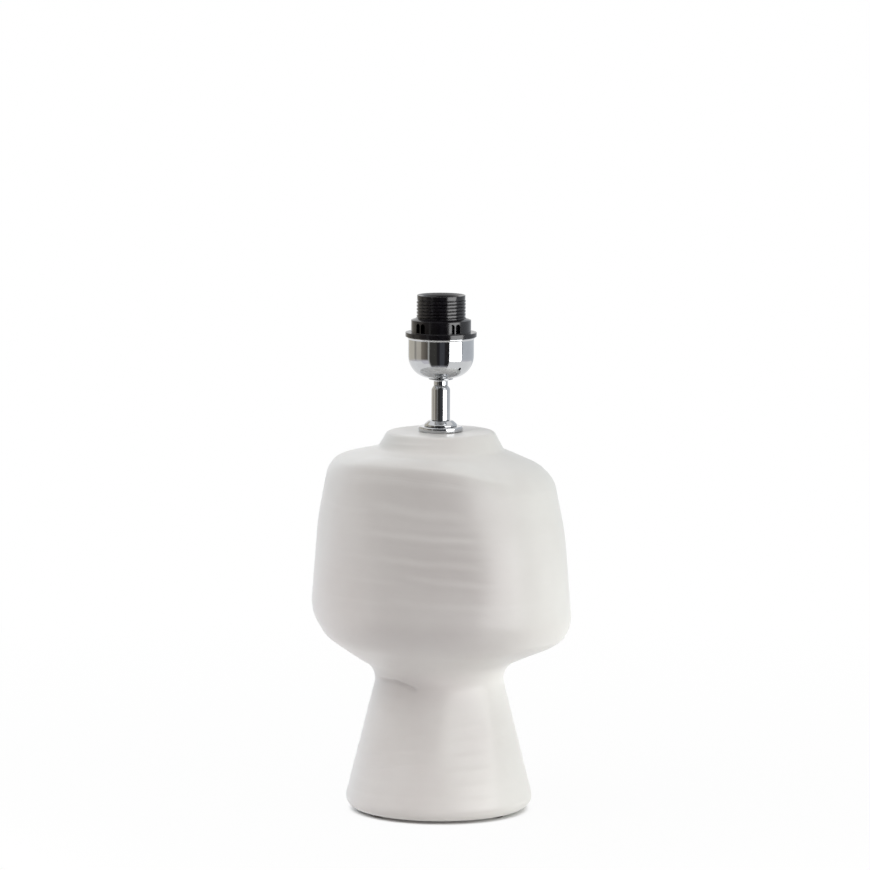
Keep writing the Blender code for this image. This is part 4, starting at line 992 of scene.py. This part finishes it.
def makePanel(name, first, last, low, high, fadeLow, fadeHigh, tones):
    # a curved wall of lit cloth that only mirrors see
    radius, steps = studio["wallRadius"], studio["wallSteps"]
    verts, faces = [], []
    for i in range(steps + 1):
        azimuth = math.radians(first + (last - first) * i / steps)
        x, y = radius * math.sin(azimuth), -radius * math.cos(azimuth)
        verts += [(x, y, low), (x, y, high)]
        if i:
            faces.append((2 * i - 2, 2 * i, 2 * i + 1, 2 * i - 1))
    panel = makeStaging(name, verts, faces)
    layer = panel.data.uv_layers.new(name="roundTheRoom")
    for loop in panel.data.loops:
        layer.data[loop.index].uv = ((loop.vertex_index // 2) / steps, loop.vertex_index % 2)
    material, tree = emptyMaterial(name + "Cloth")
    across = addNode(tree, "ShaderNodeSeparateXYZ", {0: addNode(tree, "ShaderNodeTexCoord").outputs["UV"]})
    ramp = addNode(tree, "ShaderNodeValToRGB", {"Fac": across.outputs["X"]})
    stops = ramp.color_ramp.elements
    stops.remove(stops[1])
    for i, (azimuth, tone) in enumerate(tones):
        position = (azimuth - first) / (last - first)
        stop = stops.new(position) if i else stops[0]
        stop.position, stop.color = position, toLinear(tone)
    level = addNode(tree, "ShaderNodeSeparateXYZ", {0: addNode(tree, "ShaderNodeTexCoord").outputs["Object"]})
    risen = addNode(tree, "ShaderNodeMapRange", {"Value": level.outputs["Z"], "From Min": fadeLow,
                                                 "From Max": fadeHigh})
    tone = addNode(tree, "ShaderNodeMix", {0: risen.outputs["Result"], 6: toLinear(studio["wallFoot"]),
                                           7: ramp.outputs["Color"]}, data_type="RGBA")
    glow = addNode(tree, "ShaderNodeEmission", {"Color": tone.outputs[2], "Strength": 1.0})
    addNode(tree, "ShaderNodeOutputMaterial", {"Surface": glow.outputs[0]})
    panel.data.materials.append(material)
    panel.visible_camera = panel.visible_diffuse = False


def makeLamp(name, turnNow, elevation, distance, width, height, radiance, tint):
    lamp = bpy.data.lights.new(name, "AREA")
    lamp.shape = "RECTANGLE"
    lamp.size, lamp.size_y = width, height
    lamp.energy = radiance * math.pi * width * height
    lamp.color = toLinear(tint)[:3]
    azimuth, rise = math.radians(turnNow), math.radians(elevation)
    away = Vector((math.sin(azimuth) * math.cos(rise), -math.cos(azimuth) * math.cos(rise), math.sin(rise)))
    holder = addObject(name, lamp)
    holder.location = Vector((0, 0, studio["lampLevel"])) + away * distance
    holder.rotation_euler = (-away).to_track_quat("-Z", "Y").to_euler()
    inMirrors = name == studio["mirrorLamp"]
    holder.visible_camera, holder.visible_glossy, holder.visible_diffuse = False, inMirrors, not inMirrors


def makeRoomLight():
    world = bpy.data.worlds.new("whiteRoom")
    world.use_nodes = True
    tree = world.node_tree
    camera, mirror = seenBy(tree)
    seen = addNode(tree, "ShaderNodeMath", {0: camera, 1: mirror}, operation="MAXIMUM")
    strength = addNode(tree, "ShaderNodeMapRange", {"Value": seen.outputs[0], "To Min": studio["roomLight"],
                                                    "To Max": 1.0})
    background = tree.nodes["Background"]
    background.inputs["Color"].default_value = (1, 1, 1, 1)
    tree.links.new(strength.outputs["Result"], background.inputs["Strength"])
    scene.world = world


makeTable()
for panelName, panel in studio["panels"].items():
    makePanel(panelName, *panel)
for lampName, lampValues in studio["lamps"].items():
    makeLamp(lampName, *lampValues)
makeRoomLight()
print("studio made")


# Camera

cameraPlace = {"location": (-0.0045, -4.2576, 0.8354), "pitch": 82.948, "roll": 0.29, "lens": 217.76, "sensor": 36.0,
               "reach": 50}


def makeCamera():
    values = cameraPlace
    data = bpy.data.cameras.new("camera")
    data.sensor_width, data.lens, data.clip_end = values["sensor"], values["lens"], values["reach"]
    camera = addObject("camera", data)
    pitch, roll = math.radians(values["pitch"]), math.radians(values["roll"])
    pose = Matrix.Rotation(pitch, 4, "X") @ Matrix.Rotation(roll, 4, "Z")
    camera.matrix_world = Matrix.Translation(values["location"]) @ pose
    scene.camera = camera


makeCamera()
scene.view_settings.view_transform = "Standard"
